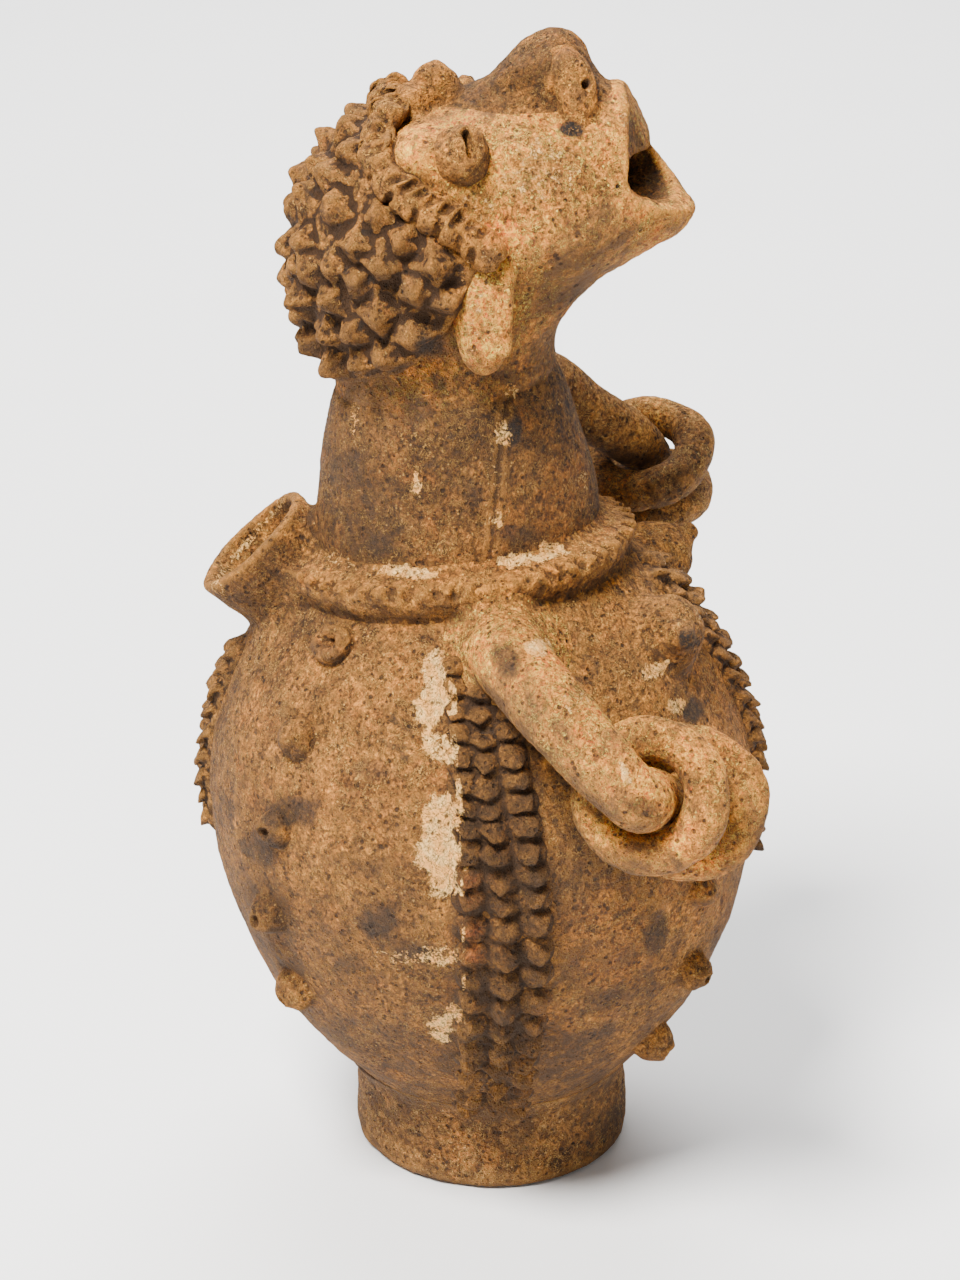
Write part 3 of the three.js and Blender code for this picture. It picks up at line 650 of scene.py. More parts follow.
    # relief
    n = g.bump(g.noise(P, 1 / 5.5, 4.0, 0.6, 0.4), 0.0019, 0.85)
    n = g.bump(crumb, 0.0021, 1.0, n)
    n = g.bump(g.math("SUBTRACT", g.math("ADD", g.math("MULTIPLY", grain, 0.8), g.math("MULTIPLY", worm, 0.7)), g.math("MULTIPLY", holes, 1.2)), 0.0021, 1.0, n)
    n = g.bump(g.math("ADD", g.math("MULTIPLY", cover, 0.8), g.math("MULTIPLY", fleck, 0.5)), 0.0007, 1.0, n)
    n = g.bump(grit, 0.00045, 0.9, n)
    rough = g.span(g.math("ADD", g.math("MULTIPLY", grain, 0.5), g.math("MULTIPLY", patch, 0.5)), 0.3, 0.7, 0.78, 0.96)
    b = g.node("ShaderNodeBsdfPrincipled")
    g.put(b.inputs["Base Color"], c)
    g.put(b.inputs["Roughness"], rough)
    b.inputs["Specular IOR Level"].default_value = 0.28
    g.put(b.inputs["Normal"], n)
    o = g.node("ShaderNodeOutputMaterial")
    g.t.links.new(b.outputs[0], o.inputs[0])
    return g.mat


CLAY = terracotta("terracotta", base=0.83, rich=0.72)
CLAY_FOOT = terracotta("terracotta_foot", base=1.10, grey=0.15, seed=1, rich=0.4)
CLAY_HAIR = terracotta("terracotta_hair", base=0.70, hollow_shade=1.55, grey=0.05, seed=2, rich=0.7)
CLAY_BAND = terracotta("terracotta_band", base=0.54, hollow_shade=1.15, grey=0.15, flecks=0.6, seed=3, rich=0.6)
CLAY_ARM = terracotta("terracotta_arm", base=1.70, hollow_shade=1.0, seed=4, rich=0.95)
# the far arm and its rings get darker, greyer copies of the clay: greyer clay and painted shade on the far side
CLAY_ARM_LEFT_SHADED = terracotta("terracotta_arm_left_shaded", base=1.15, warmth=-0.25, hollow_shade=1.0, grey=0.2, seed=14, rich=0.45)
CLAY_RING = terracotta("terracotta_ring", base=1.58, hollow_shade=1.0, grey=0.1, seed=5, rich=0.95)
CLAY_RING_LEFT_SHADED = terracotta("terracotta_ring_left_shaded", base=1.3, warmth=-0.25, hollow_shade=1.0, grey=0.2, seed=15, rich=0.45)
CLAY_HEAD = terracotta("terracotta_head", base=1.74, warmth=0.06, seed=6, rich=1.0)
CLAY_FEATURE = terracotta("terracotta_feature", base=1.04, warmth=0.04, grey=0.1, seed=9, rich=0.9)
CLAY_SMOKED = terracotta("terracotta_smoked", base=0.60, grey=0.15, seed=7, rich=0.7)
CLAY_COLLAR = terracotta("terracotta_collar", base=1.0, seed=8, rich=0.8)


# ------------------------------------------------------------------ foot, body, neck
def inset(profile, d):
    p = np.asarray(profile, float)
    t = np.gradient(p, axis=0)
    n = np.stack([t[:, 1], -t[:, 0]], 1)
    n /= np.linalg.norm(n, axis=1)[:, None]
    return p - n * d


def skinned(profile, n, amount, rough, shape=lean):
    """Rings of a turned wall, with each point moved off the wall by the clay's unevenness."""
    a = np.arange(n) / n * 2 * math.pi
    p = np.asarray(profile, float)
    t = np.gradient(p, axis=0)
    nn = np.stack([t[:, 1], -t[:, 0]], 1)
    nn /= np.maximum(np.linalg.norm(nn, axis=1), 1e-9)[:, None]
    rings = []
    for (r, z), (nr, nz), k in zip(p, nn, np.broadcast_to(amount, len(p))):
        base = shape(np.stack([r * np.cos(a), r * np.sin(a), np.full(n, z)], 1))
        d = rough(base) * k if k else np.zeros(n)
        q = np.stack([(r + nr * d) * np.cos(a), (r + nr * d) * np.sin(a), z + nz * d], 1)
        rings.append(shape(q))
    return rings


def make_body():
    n = 440
    rows = 196
    outer = smooth_curve(BODY, rows)
    inner = inset(smooth_curve(BODY[1:], 46), WALL)[::-1]
    rings = skinned(outer, n, 1.0, skin)
    rings += skinned(inner, n, 0.0, skin)[::1]
    # the floor inside and underneath closes on small rings
    for r, z in ((36, 32.4), (20, 31.2), (2.0, 30.8)):
        rings += turned([(r, z)], n)
    for r, z in ((2.0, 22.4), (20, 23.2), (34, 25.0)):
        rings += turned([(r, z)], n)
    return outward(*grid_mesh(rings, closed_v=True))


def cut_bore(ob, root, mouth, radius):
    """Opens the wall behind the spout."""
    import bmesh
    bm = bmesh.new()
    d = Vector(mouth) - Vector(root)
    q = d.to_track_quat("Z", "Y").to_matrix().to_4x4()
    q.translation = Vector(root)
    bmesh.ops.create_cone(bm, cap_ends=True, segments=40, radius1=radius, radius2=radius, depth=d.length * 2, matrix=q)
    me = bpy.data.meshes.new("bore")
    bm.to_mesh(me)
    bm.free()
    tool = bpy.data.objects.new("bore", me)
    bpy.context.scene.collection.objects.link(tool)
    mod = ob.modifiers.new("bore", "BOOLEAN")
    mod.operation, mod.solver, mod.object = "DIFFERENCE", "EXACT", tool
    deps = bpy.context.evaluated_depsgraph_get()
    new = bpy.data.meshes.new_from_object(ob.evaluated_get(deps))
    ob.modifiers.clear()
    ob.data = new
    bpy.data.objects.remove(tool)


def row(p):
    return ((np.asarray(p, float) + SHIFT) * 0.001).tolist()


MARKS += [
    # chalky slip: strip beside the side band
    ("slip", 436, 668, 15, 24, -8, 0.75), ("slip", 432, 706, 18, 32, 0, 0.95), ("slip", 440, 745, 20, 22, 0, 0.75),
    ("slip", 441, 816, 26, 22, 0, 0.9), ("slip", 440, 850, 25, 26, 0, 0.95), ("slip", 446, 884, 18, 18, 30, 0.7),
    ("slip", 443, 1024, 18, 28, 25, 0.85), ("slip", 440, 955, 22, 14, 0, 0.6), ("slip", 408, 958, 34, 8, 0, 0.4),
    ("slip", 452, 692, 4, 26, -6, 0.8), ("slip", 456, 752, 3, 24, -3, 0.62), ("slip", 459, 800, 4, 20, -2, 0.9), ("slip", 460, 848, 3, 20, 0, 0.66),
    ("slip", 462, 886, 4, 15, 0, 0.8), ("slip", 463, 936, 3, 20, 0, 0.55), ("slip", 464, 985, 3, 14, 0, 0.5),
    # collar and neck
    ("slip", 410, 572, 36, 10, 8, 0.75), ("slip", 520, 558, 40, 12, -4, 0.85), ("slip", 548, 552, 14, 12, 0, 0.7),
    ("slip", 600, 548, 22, 9, -25, 0.35), ("slip", 340, 560, 24, 7, 20, 0.4), ("slip", 497, 520, 8, 12, 3, 0.6), ("slip", 492, 478, 6, 14, 0, 0.4),
    ("slip", 503, 432, 11, 15, 3, 0.55), ("slip", 511, 392, 8, 12, 0, 0.5), ("slip", 354, 420, 6, 22, 8, 0.42), ("slip", 417, 490, 7, 9, 0, 1.1), ("slip", 416, 477, 3, 8, 0, 0.8),
    ("slip", 460, 410, 40, 30, 0, 0.12),
    # arm
    ("slip", 538, 646, 14, 9, 10, 1.1), ("slip", 625, 772, 6, 20, -20, 0.85), ("slip", 573, 700, 14, 16, 0, 0.4), ("slip", 583, 480, 8, 14, 0, 0.4),
    # front of the body
    ("slip", 652, 672, 16, 9, -30, 0.8), ("slip", 677, 706, 8, 7, 0, 0.8), ("slip", 590, 740, 14, 14, 0, 0.3),
    # head
    ("slip", 545, 165, 50, 34, -15, 0.42), ("slip", 520, 140, 26, 20, 0, 0.35), ("slip", 625, 120, 9, 30, 0, 0.35),
    ("slip", 478, 300, 22, 60, 0, 0.30), ("slip", 470, 215, 24, 26, 40, 0.35), ("slip", 445, 120, 18, 14, 0, 0.25),
    # spout
    ("slip", 250, 540, 6, 60, 41, 0.55), ("slip", 215, 590, 10, 12, 0, 0.4),
    # soot and burnt spots, with painted shadow under the nostril wing and in its pit
    ("soot_and_shade", 514, 433, 10, 14, 10, 1.0), ("soot_and_shade", 506, 375, 12, 14, 0, 0.4), ("soot_and_shade", 512, 532, 26, 10, 0, 0.55), ("soot_and_shade", 473, 495, 12, 16, 0, 0.45), ("soot_and_shade", 380, 545, 14, 14, 0, 0.55),
    ("soot_and_shade", 505, 660, 15, 24, -30, 0.75), ("soot_and_shade", 640, 806, 20, 13, 15, 0.7), ("soot_and_shade", 690, 712, 13, 16, 35, 0.9),
    ("soot_and_shade", 655, 933, 13, 20, 20, 0.85), ("soot_and_shade", 600, 1000, 34, 10, -25, 0.45), ("soot_and_shade", 590, 1042, 30, 12, -35, 0.5), ("soot_and_shade", 625, 960, 14, 12, 0, 0.4),
    ("soot_and_shade", 288, 812, 30, 20, -15, 0.85), ("soot_and_shade", 262, 846, 22, 18, 0, 0.7), ("soot_and_shade", 370, 770, 22, 14, 0, 0.45), ("soot_and_shade", 377, 922, 24, 18, 0, 0.8),
    ("soot_and_shade", 370, 870, 16, 14, 0, 0.45), ("soot_and_shade", 232, 810, 14, 14, 0, 0.45), ("soot_and_shade", 412, 952, 20, 8, 0, 0.7), ("soot_and_shade", 327, 652, 20, 8, 20, 0.6), ("soot_and_shade", 688, 641, 11, 12, 0, 1.0), ("soot_and_shade", 690, 780, 12, 10, 0, 0.4),
    ("soot_and_shade", 235, 600, 12, 8, -30, 0.4), ("soot_and_shade", 448, 605, 14, 10, 0, 0.35), ("soot_and_shade", 590, 810, 14, 10, 0, 0.3), ("soot_and_shade", 430, 345, 20, 12, 0, 0.85), ("soot_and_shade", 560, 300, 30, 12, -30, 0.5), ("soot_and_shade", 415, 410, 16, 22, 0, 0.5), ("soot_and_shade", 345, 470, 16, 26, 0, 0.45), ("soot_and_shade", 575, 690, 14, 10, 30, 0.4),
    # 573, 129 and 588, 84: painted shadow under the right nostril wing and in its pit
    ("soot_and_shade", 488, 255, 12, 8, 0, 0.55), ("soot_and_shade", 573, 129, 16, 9, 0, 1.2), ("soot_and_shade", 578, 95, 9, 16, 0, 0.4), ("soot_and_shade", 588, 84, 5, 6, 0, 0.8), ("soot_and_shade", 620, 1130, 20, 30, 0, 0.25),
    # orange earth
    ("warm", 500, 235, 24, 18, 0, 0.8), ("warm", 420, 660, 30, 20, 0, 0.35), ("warm", 440, 760, 30, 24, 0, 0.5), ("warm", 355, 790, 60, 40, 0, 0.2),
    ("warm", 720, 700, 30, 80, -20, 0.35), ("warm", 610, 940, 50, 60, 0, 0.4), ("warm", 700, 880, 40, 60, 0, 0.35), ("warm", 555, 45, 30, 14, 0, 0.35),
    ("warm", 560, 500, 30, 50, 0, 0.3), ("warm", 470, 560, 30, 14, 0, 0.3), ("warm", 465, 1150, 40, 20, 0, 0.35), ("warm", 555, 1020, 24, 24, 0, 0.5), ("warm", 400, 310, 20, 14, 0, 0.3),
    # darker clay, and painted shade: on the lower body, under the jaw, on the near arm and its rings, and the arm's
    # cast shadow by the side band
    ("dark_and_shade", 500, 880, 62, 260, 0, 0.75), ("dark_and_shade", 560, 870, 40, 150, -12, 0.40), ("dark_and_shade", 620, 880, 50, 40, 0, 0.35), ("dark_and_shade", 630, 650, 40, 30, 0, 0.25),
    ("dark_and_shade", 520, 480, 50, 90, 0, 0.25), ("dark_and_shade", 365, 470, 40, 110, 0, 0.38), ("dark_and_shade", 450, 440, 40, 60, 0, 0.25), ("dark_and_shade", 500, 85, 90, 26, -30, 0.62), ("dark_and_shade", 590, 265, 66, 26, -32, 0.75), ("dark_and_shade", 340, 900, 120, 120, 0, 0.36),
    ("dark_and_shade", 520, 690, 26, 46, -35, 0.6), ("dark_and_shade", 596, 790, 40, 26, 20, 0.5), ("dark_and_shade", 560, 745, 20, 40, -40, 0.3), ("dark_and_shade", 545, 1060, 90, 30, 0, 0.35), ("dark_and_shade", 420, 1070, 60, 22, 20, 0.25), ("dark_and_shade", 400, 1120, 40, 30, 0, 0.25), ("dark_and_shade", 595, 1110, 30, 50, 0, 0.35),
    ("dark_and_shade", 330, 340, 60, 34, 0, 0.35), ("dark_and_shade", 250, 700, 60, 60, 0, 0.18), ("dark_and_shade", 660, 560, 50, 30, 0, 0.3), ("dark_and_shade", 650, 150, 22, 60, -20, 0.35), ("dark_and_shade", 450, 345, 40, 20, 0, 0.35),
    ("dark_and_shade", 646, 860, 46, 18, 6, 0.85), ("dark_and_shade", 590, 240, 54, 30, -34, 0.6), ("dark_and_shade", 612, 744, 15, 22, 0, 0.5), ("dark_and_shade", 752, 832, 13, 52, -10, 0.5), ("dark_and_shade", 558, 730, 32, 12, 42, 0.5),
    ("dark_and_shade", 592, 802, 24, 13, 40, 0.6), ("dark_and_shade", 640, 742, 26, 8, 20, 0.45), ("dark_and_shade", 690, 800, 12, 36, -20, 0.4), ("dark_and_shade", 275, 800, 40, 60, 0, 0.25),
    ("dark_and_shade", 735, 830, 30, 60, 0, 0.3), ("dark_and_shade", 640, 480, 60, 50, 0, 0.25), ("dark_and_shade", 290, 620, 60, 18, 0, 0.2),
]

body_ob = build("vessel_body_clay", *make_body(), nodes=("vessel_body",), slot="body_clay", look=CLAY)
cut_bore(body_ob, row([0, 66, 246]), row([0, 101, 284]), 0.0165)


def make_foot():
    n = 300
    pts = [[66.45, 45.9], [62.9, 40.6], [60.8, 35.8], [60.0, 29], [60.2, 18], [60.6, 8], [60, 3.2], [58, 0.6], [55, 0]]
    outer = smooth_curve(pts, 42)
    prof = np.vstack([outer, [[50, 0], [46.8, 0.3], [46, 1.2], [45.8, 10], [45.2, 20], [44.6, 25.5], [46, 27.4], [53.6, 32.8], [59.0, 39.2], [64.9, 45.6]]])
    amt = np.r_[np.full(36, 1.0), np.linspace(1, 0, 6), np.zeros(9), 1.0]

    def rough(p):
        w = step(30, 42, p[..., 2])
        return w * skin(p) + (1 - w) * 0.9 * skin(p * 1.3)

    rings = skinned(prof[::-1], n, amt[::-1], rough)
    return outward(*grid_mesh(rings, closed_v=True))


build("foot_ring_clay", *make_foot(), nodes=("foot_ring",), slot="foot_clay", look=CLAY_FOOT, tone=(0.25, 0, 0))


def neck_skin(p):
    # a shallow seam runs down the near side
    u, v = project(p)
    near = step(0, -8, p[..., 0])
    line = 500 + (v - 460) * -0.10
    seam = np.exp(-(((u - line) / 3.2) ** 2)) * step(590, 560, v) * step(365, 400, v)
    side = step(-14, 0, u - line) * (1 - step(0, 26, u - line)) * step(590, 540, v) * step(365, 420, v)
    return 0.8 * skin(p) + near * (0.55 * side - 0.85 * seam)


def make_neck():
    n = 330
    outer = smooth_curve(NECK[:-1], 78)
    inner = smooth_curve(NECK[:-1], 14)[::-1] - [8.0, 0]
    rings = skinned(outer, n, np.r_[np.ones(len(outer))], neck_skin)
    rings += turned(inner, n)
    return outward(*grid_mesh(rings, closed_v=True))


# the neck is painted darker all round: darker clay and painted shade under the overhanging head
build("neck_clay", *make_neck(), nodes=("neck",), slot="body_clay", look=CLAY, tone=(0.62, 0, 0))


# ------------------------------------------------------------------ head
HEAD = np.array([  # lower y, z, upper y, z and half width of each section from the neck to the lips
    [-25.4, 366.0, 60.6, 357.1, 43], [-28.5, 378, 68, 380, 46], [-35, 389, 74.5, 406, 49.5], [-43, 398, 68, 439, 51],
    [-50, 403.5, 40, 465, 49], [-58, 408, 7, 473, 45], [-67, 413, -22, 475, 40], [-75, 417.5, -44, 478, 34.5],
    [-79.5, 421.5, -56, 477, 29.5], [-81.5, 426.5, -63.5, 463, 24]], float)
NOSE = np.array([
    [15, 465, 14, 474.0, 8], [5, 463, 4, 478.5, 14], [-6, 461, -5.5, 486, 18], [-17, 461, -16, 496, 19.5],
    [-28, 461, -26.5, 500.5, 19], [-37, 463, -36.5, 495, 16], [-43, 466, -44.5, 481, 11]], float)


def catmull(rows, n):
    """Catmull-Rom by index."""
    rows = np.asarray(rows, float)
    p = np.vstack([2 * rows[0] - rows[1], rows, 2 * rows[-1] - rows[-2]])
    t = np.linspace(0, len(rows) - 1 - 1e-9, n)
    i = t.astype(int)
    t = (t - i)[:, None]
    a, b, c, d = p[i], p[i + 1], p[i + 2], p[i + 3]
    return 0.5 * (2 * b + (c - a) * t + (2 * a - 5 * b + 4 * c - d) * t**2 + (3 * b - a - 3 * c + d) * t**3)


def loft(rows, sides, steps, squareness):
    a = np.arange(sides) / sides * 2 * math.pi
    e = 2 / squareness
    cs, sn = np.sign(np.cos(a)) * np.abs(np.cos(a)) ** e, np.sign(np.sin(a)) * np.abs(np.sin(a)) ** e
    rings = []
    for ly, lz, uy, uz, w in catmull(rows, steps):
        c = np.array([0, (ly + uy) / 2, (lz + uz) / 2])
        d = np.array([0, (uy - ly) / 2, (uz - lz) / 2])
        rings.append(c + cs[:, None] * d + sn[:, None] * np.array([w, 0, 0]))
    V, Q = grid_mesh(rings)
    m = len(V)
    V = np.vstack([V, rings[0].mean(0), rings[-1].mean(0)])
    i = np.arange(sides)
    j = (i + 1) % sides
    last = (steps - 1) * sides
    T = np.vstack([np.stack([j, i, np.full(sides, m)], 1), np.stack([last + i, last + j, np.full(sides, m + 1)], 1)])
    return V, Q, T


def distances(vol, V, Q, T, reach=22):
    """Signed distance of a closed mesh on a block's grid, in mm, right within reach mm."""
    P = ((V - vol.lo) / vol.h).astype(np.float32)
    half = reach / vol.h
    g = vdb.FloatGrid.createLevelSetFromPolygons(
        P, triangles=T.astype(np.uint32), quads=Q.astype(np.uint32), transform=vdb.createLinearTransform(1.0), halfWidth=float(half))
    out = np.empty(tuple(vol.n), np.float32)
    g.copyToArray(out)
    return out * vol.h


HV = Vol([-72, -100, 342], [72, 102, 512], 1.0)
base = distances(HV, *loft(HEAD, 120, 130, 2.25))


def sampler(vol, A):
    """Trilinear look-up of a block, as a field."""
    def f(P):
        q = (np.asarray(P, float) - vol.lo) / vol.h
        q = np.clip(q, 0, np.array(vol.n) - 1.001)
        i = q.astype(int)
        t = q - i
        x, y, z = i[..., 0], i[..., 1], i[..., 2]
        a = A[x, y, z] * (1 - t[..., 0]) + A[x + 1, y, z] * t[..., 0]
        b = A[x, y + 1, z] * (1 - t[..., 0]) + A[x + 1, y + 1, z] * t[..., 0]
        c = A[x, y, z + 1] * (1 - t[..., 0]) + A[x + 1, y, z + 1] * t[..., 0]
        d = A[x, y + 1, z + 1] * (1 - t[..., 0]) + A[x + 1, y + 1, z + 1] * t[..., 0]
        return (a * (1 - t[..., 1]) + b * t[..., 1]) * (1 - t[..., 2]) + (c * (1 - t[..., 1]) + d * t[..., 1]) * t[..., 2]
    return f


def mirrored(p):
    return np.array([-p[0], p[1], p[2]])


# the skull and muzzle, worked over: brow, cheeks and a flat by the mouth
skull = base.copy()
tmp = Vol.__new__(Vol)
tmp.h, tmp.lo, tmp.n, tmp.A = HV.h, HV.lo, HV.n, skull
for s in (-1, 1):
    tmp.stamp([s * 34, -22, 428], 44, lambda P: ellipsoid(P, [s * 33, -22, 428], [16, 26, 17]), 12)
    tmp.stamp([s * 36, 24, 458], 30, lambda P: ellipsoid(P, [s * 33, 26, 456], [14, 12, 11]), 9)
    tmp.stamp([s * 44, 5, 441], 26, lambda P: ellipsoid(P, [s * 57, 2, 440], [9, 12, 8]), 9, "cut")
skull -= HV.sample(lambda P: 0.95 * vn(P, 30, 5) + 0.6 * vn(P, 15, 6) + 0.32 * vn(P, 7.5, 7) + 0.2 * vn(P, 4, 8))
head_f = sampler(HV, skull)


def outline(points):
    """Signed distance to a polygon in the y, z plane, as a field over points."""
    p = np.asarray(points, np.float32)

    def f(P):
        y, z = P[..., 1], P[..., 2]
        d2 = np.full(y.shape, 1e9, np.float32)
        inside = np.zeros(y.shape, bool)
        for a, b in zip(p, np.roll(p, -1, axis=0)):
            ey, ez = b - a
            wy, wz = y - a[0], z - a[1]
            t = np.clip((wy * ey + wz * ez) / max(float(ey * ey + ez * ez), 1e-9), 0, 1)
            d2 = np.minimum(d2, (wy - ey * t) ** 2 + (wz - ez * t) ** 2)
            cross = (a[1] > z) != (b[1] > z)
            if ez != 0:
                inside ^= cross & (y < ey * (z - a[1]) / ez + a[0])
        return np.where(inside, -1, 1) * np.sqrt(d2)
    return f


# what is cut away to open the mouth, in the y, z plane: further back on the right side than on the left
NEAR_RIM = outline([[-54.6, 500], [-55.2, 452.8], [-54.3, 446.7], [-56.2, 442.2], [-60.8, 438.0], [-67, 435.0], [-74.5, 433.2], [-79.2, 430.8], [-100, 430], [-100, 500]])
FAR_RIM = outline([[-50, 500], [-54.1, 477], [-60.5, 464.6], [-64.3, 456.6], [-66.6, 445.4], [-72.6, 439.4], [-77.9, 434.2], [-81.7, 428.3], [-100, 424], [-100, 500]])


def roof(P):
    """Height above the underside of the thick upper lip."""
    y = P[..., 1]
    return P[..., 2] - (451.5 + 0.9 * np.maximum(y + 55, 0) + 0.25 * np.minimum(y + 55, 0))


def make_head():
    A = skull.copy()
    # hollow inside, open to the neck
    hollow = smax(A + 7.5, HV.sample(roof), 4)
    bore = HV.sample(lambda P: np.maximum(neck_f(P, False) + 8.0, 0.0 - (P[..., 2] - 340)))
    A = smax(A, -smin(hollow, bore, 6), 1.5)
    v = Vol.__new__(Vol)
    v.h, v.lo, v.n, v.A = HV.h, HV.lo, HV.n, A
    # clay smeared down over the top of the neck
    def skirt(P):
        n = neck_f(P)
        return np.maximum(np.maximum(smin(head_f(P), n + 0.7, 10), -(n + 2.2)), 348 + 2.0 * vn(P, 9, 9) - P[..., 2])
    v.A = np.minimum(v.A, HV.sample(skirt))
    # mouth
    def gape(P):
        w = step(-26, 8, P[..., 0])
        return NEAR_RIM(P) * (1 - w) + FAR_RIM(P) * w + 0.45 * vn(P, 8, 10) + 0.25 * vn(P, 4, 11)

    v.A = smax(v.A, -HV.sample(gape), 1.8)
    v.stamp([0, -50, 443], 30, lambda P: smax(ellipsoid(P, [0, -50, 441.5], [25, 24, 14]), roof(P) + 0.6 * vn(P, 7, 12), 2), 4, "cut")
    v.stamp([0, -64, 441], 34, lambda P: smax(ellipsoid(P, [0, -63, 446.5], [25, 18, 16.5]), roof(P) + 1.0, 2), 2.5, "cut")
    # a lip pulled to a low point
    v.stamp([0, -78, 427], 16, lambda P: ellipsoid(P, [0, -76.5, 428], [15, 6.5, 3.4]), 4)
    return v.mesh()


def jaw_shade(V):
    """Painted shade under the jaw and down on to the neck, and inside the mouth."""
    w = step(412, 368, V[:, 2] + 5 * vn(V, 18, 77)) * 1.15
    w = np.maximum(w, 1.9 * step(-4.5, -8, head_f(V) + 0.8 * vn(V, 6, 79)))  # painted shade inside the mouth
    return np.stack([w, 0 * w, 0 * w], 1)


head_ob = build("head_clay", *make_head(), nodes=("head",), slot="head_clay", look=CLAY_HEAD, fine=0.2, tone=jaw_shade)


def dress(name, lo, hi, h, shape, host, k, node, slot, look, deep=2.0, sink=0.7, reach=None, **kw):
    """A piece pressed on to a host: its own shape, with a thin smeared edge that dies into the host."""
    v = Vol(lo, hi, h)
    own = v.sample(shape)
    under = v.sample(host)
    A = smin(own, under + sink, k)
    A = np.maximum(A, -(under + deep))
    A = np.maximum(A, own - (reach or k * 1.3))
    v.A = A
    return build(name, *v.mesh(), nodes=(node,), slot=slot, look=look, **kw)


# ------------------------------------------------------------------ nose, nostrils, pellet
nose_vol = Vol([-30, -56, 448], [30, 30, 512], 0.8)
nose_base = distances(nose_vol, *loft(NOSE, 72, 70, 1.9))


def make_nose():
    v = nose_vol
    own = nose_base - v.sample(lambda P: 0.8 * vn(P, 14, 12) + 0.35 * vn(P, 6, 13) + 0.2 * vn(P, 3.2, 14))
    # shallow pinch under the bridge on each side
    w = Vol.__new__(Vol)
    w.h, w.lo, w.n, w.A = v.h, v.lo, v.n, own
    for s in (-1, 1):
        w.stamp([s * 20, -4, 479], 22, lambda P: ellipsoid(P, [s * 24, -2, 480], [9, 20, 8]), 6, "cut")
    under = v.sample(head_f)
    A = smin(own, under + 0.7, 9)
    A = np.maximum(A, -(under + 2.5))
    A = np.maximum(A, own - 11)
    w.A = A
    return w.mesh()


nose_ob = build("nose_clay", *make_nose(), nodes=("nose",), slot="smoked_clay", look=CLAY_SMOKED, fine=0.2)
nose_f = sampler(nose_vol, nose_base)


def face_f(P):
    """Head with the nose on it."""
    n = np.where(((P > nose_vol.lo + 1) & (P < nose_vol.lo + nose_vol.h * (nose_vol.n - 2))).all(-1), nose_f(P), 30.0)
    return smin(head_f(P), n, 6)


for s, side in ((-1, "right"), (1, "left")):
    top, bot = np.array([s * 14.0, -31.0, 491.0]), np.array([s * 20.5, -37.5, 465.5])
    ax = axes_of(bot - top, [s, 0, 0.2])

    def lobe(P, s=s, top=top, bot=bot, ax=ax):
        d = P + 0.8 * vn(P, 7, 15)[..., None]
        a = ellipsoid(d, (top + bot) / 2 + np.array([s * 2.6, 0, 0.6]), [7.8, 8.4, 17.8], ax)
        tip = bot + ax[:, 2] * 0.5
        return smax(a, -ellipsoid(d, tip + np.array([s * 1.0, -1.5, -1.5]), [5.0, 4.4, 6.5], ax), 1.6)

    if s < 0:
        pit = hit(587, 84, lobe)
        pit_n = out_of(lobe, pit)
    p, n = (pit, pit_n) if s < 0 else (mirrored(pit), mirrored(pit_n))

    def wing(P, p=p, n=n, lobe=lobe):  # with the nostril pricked in its outer side
        return smax(lobe(P), -capsule(P, p + n * 3, p - n * 5, 2.4, 1.4), 1.0) - 0.3 * vn(P, 4, 16)

    dress("nostril_%s_clay" % side, [min(s * 36, s * 2), -56, 448], [max(s * 36, s * 2), -12, 508], 0.6, wing, face_f, 2.6,
          "nostril_" + side, "head_clay", CLAY_FEATURE, deep=3.5, sink=0.5)


def pellet(P):
    d = P + 0.9 * vn(P, 8, 17)[..., None]
    a = smin(ellipsoid(d, [-1, 22, 477.5], [8.2, 8.4, 9.6]), ellipsoid(d, [-9, 31, 472], [8, 7, 7]), 5)
    return smin(a, capsule(d, [-2, 18, 476], [-7, 4, 465], 6.5, 4.0), 6) - 0.5 * vn(P, 5, 18)


dress("forehead_pellet_clay", [-26, 2, 456], [20, 46, 498], 0.6, pellet, head_f, 6, "forehead_pellet", "head_clay", CLAY_FEATURE, deep=2.5)

# ------------------------------------------------------------------ eyes
eye_at = hit(461, 156, head_f)
eye_n = out_of(head_f, eye_at)
for s, side in ((-1, "right"), (1, "left")):
    p, n = (eye_at, eye_n) if s < 0 else (mirrored(eye_at), mirrored(eye_n))
    up = UP if s < 0 else mirrored(UP)
    ax = axes_of(n, up)  # x along the slit, z out of the face

    def eye(P, p=p, n=n, ax=ax, s=s):
        w = P + 0.5 * np.stack([vn(P, 6, 18), vn(P, 6, 19), vn(P, 6, 20)], -1)
        a = ellipsoid(w, p + n * 1.0, [12.0, 10.4, 10.6], ax)
        q = (w - p.astype(np.float32)) @ ax.astype(np.float32)
        # raised lid round a deep slit
        lid = np.abs(np.hypot(q[..., 0] * 0.66, q[..., 1] + 0.8) - 4.0) - 1.5
        lid = np.maximum(lid, np.abs(q[..., 2] - 8.6) - 2.4)
        a = smin(a, lid, 2.6)
        slit = capsule(q, [-4.6, -0.8, 11.8], [4.8, 0.9, 11.4], 2.3, 1.5)
        slit = np.minimum(slit, ellipsoid(q, [0.2, 0, 10], [6.0, 1.9, 7.0]))
        a = smax(a, -slit, 1.3)
        return a - 0.45 * vn(P, 5, 22) - 0.35 * vn(P, 3, 23)

    lo, hi = np.minimum(p, p) - 24, p + 24
    dress("eye_%s_clay" % side, lo, hi, 0.5, eye, head_f, 2.6, "eye_" + side, "smoked_clay", CLAY_FEATURE, deep=2.5, sink=0.5, tone=(0.3, 0, 0))

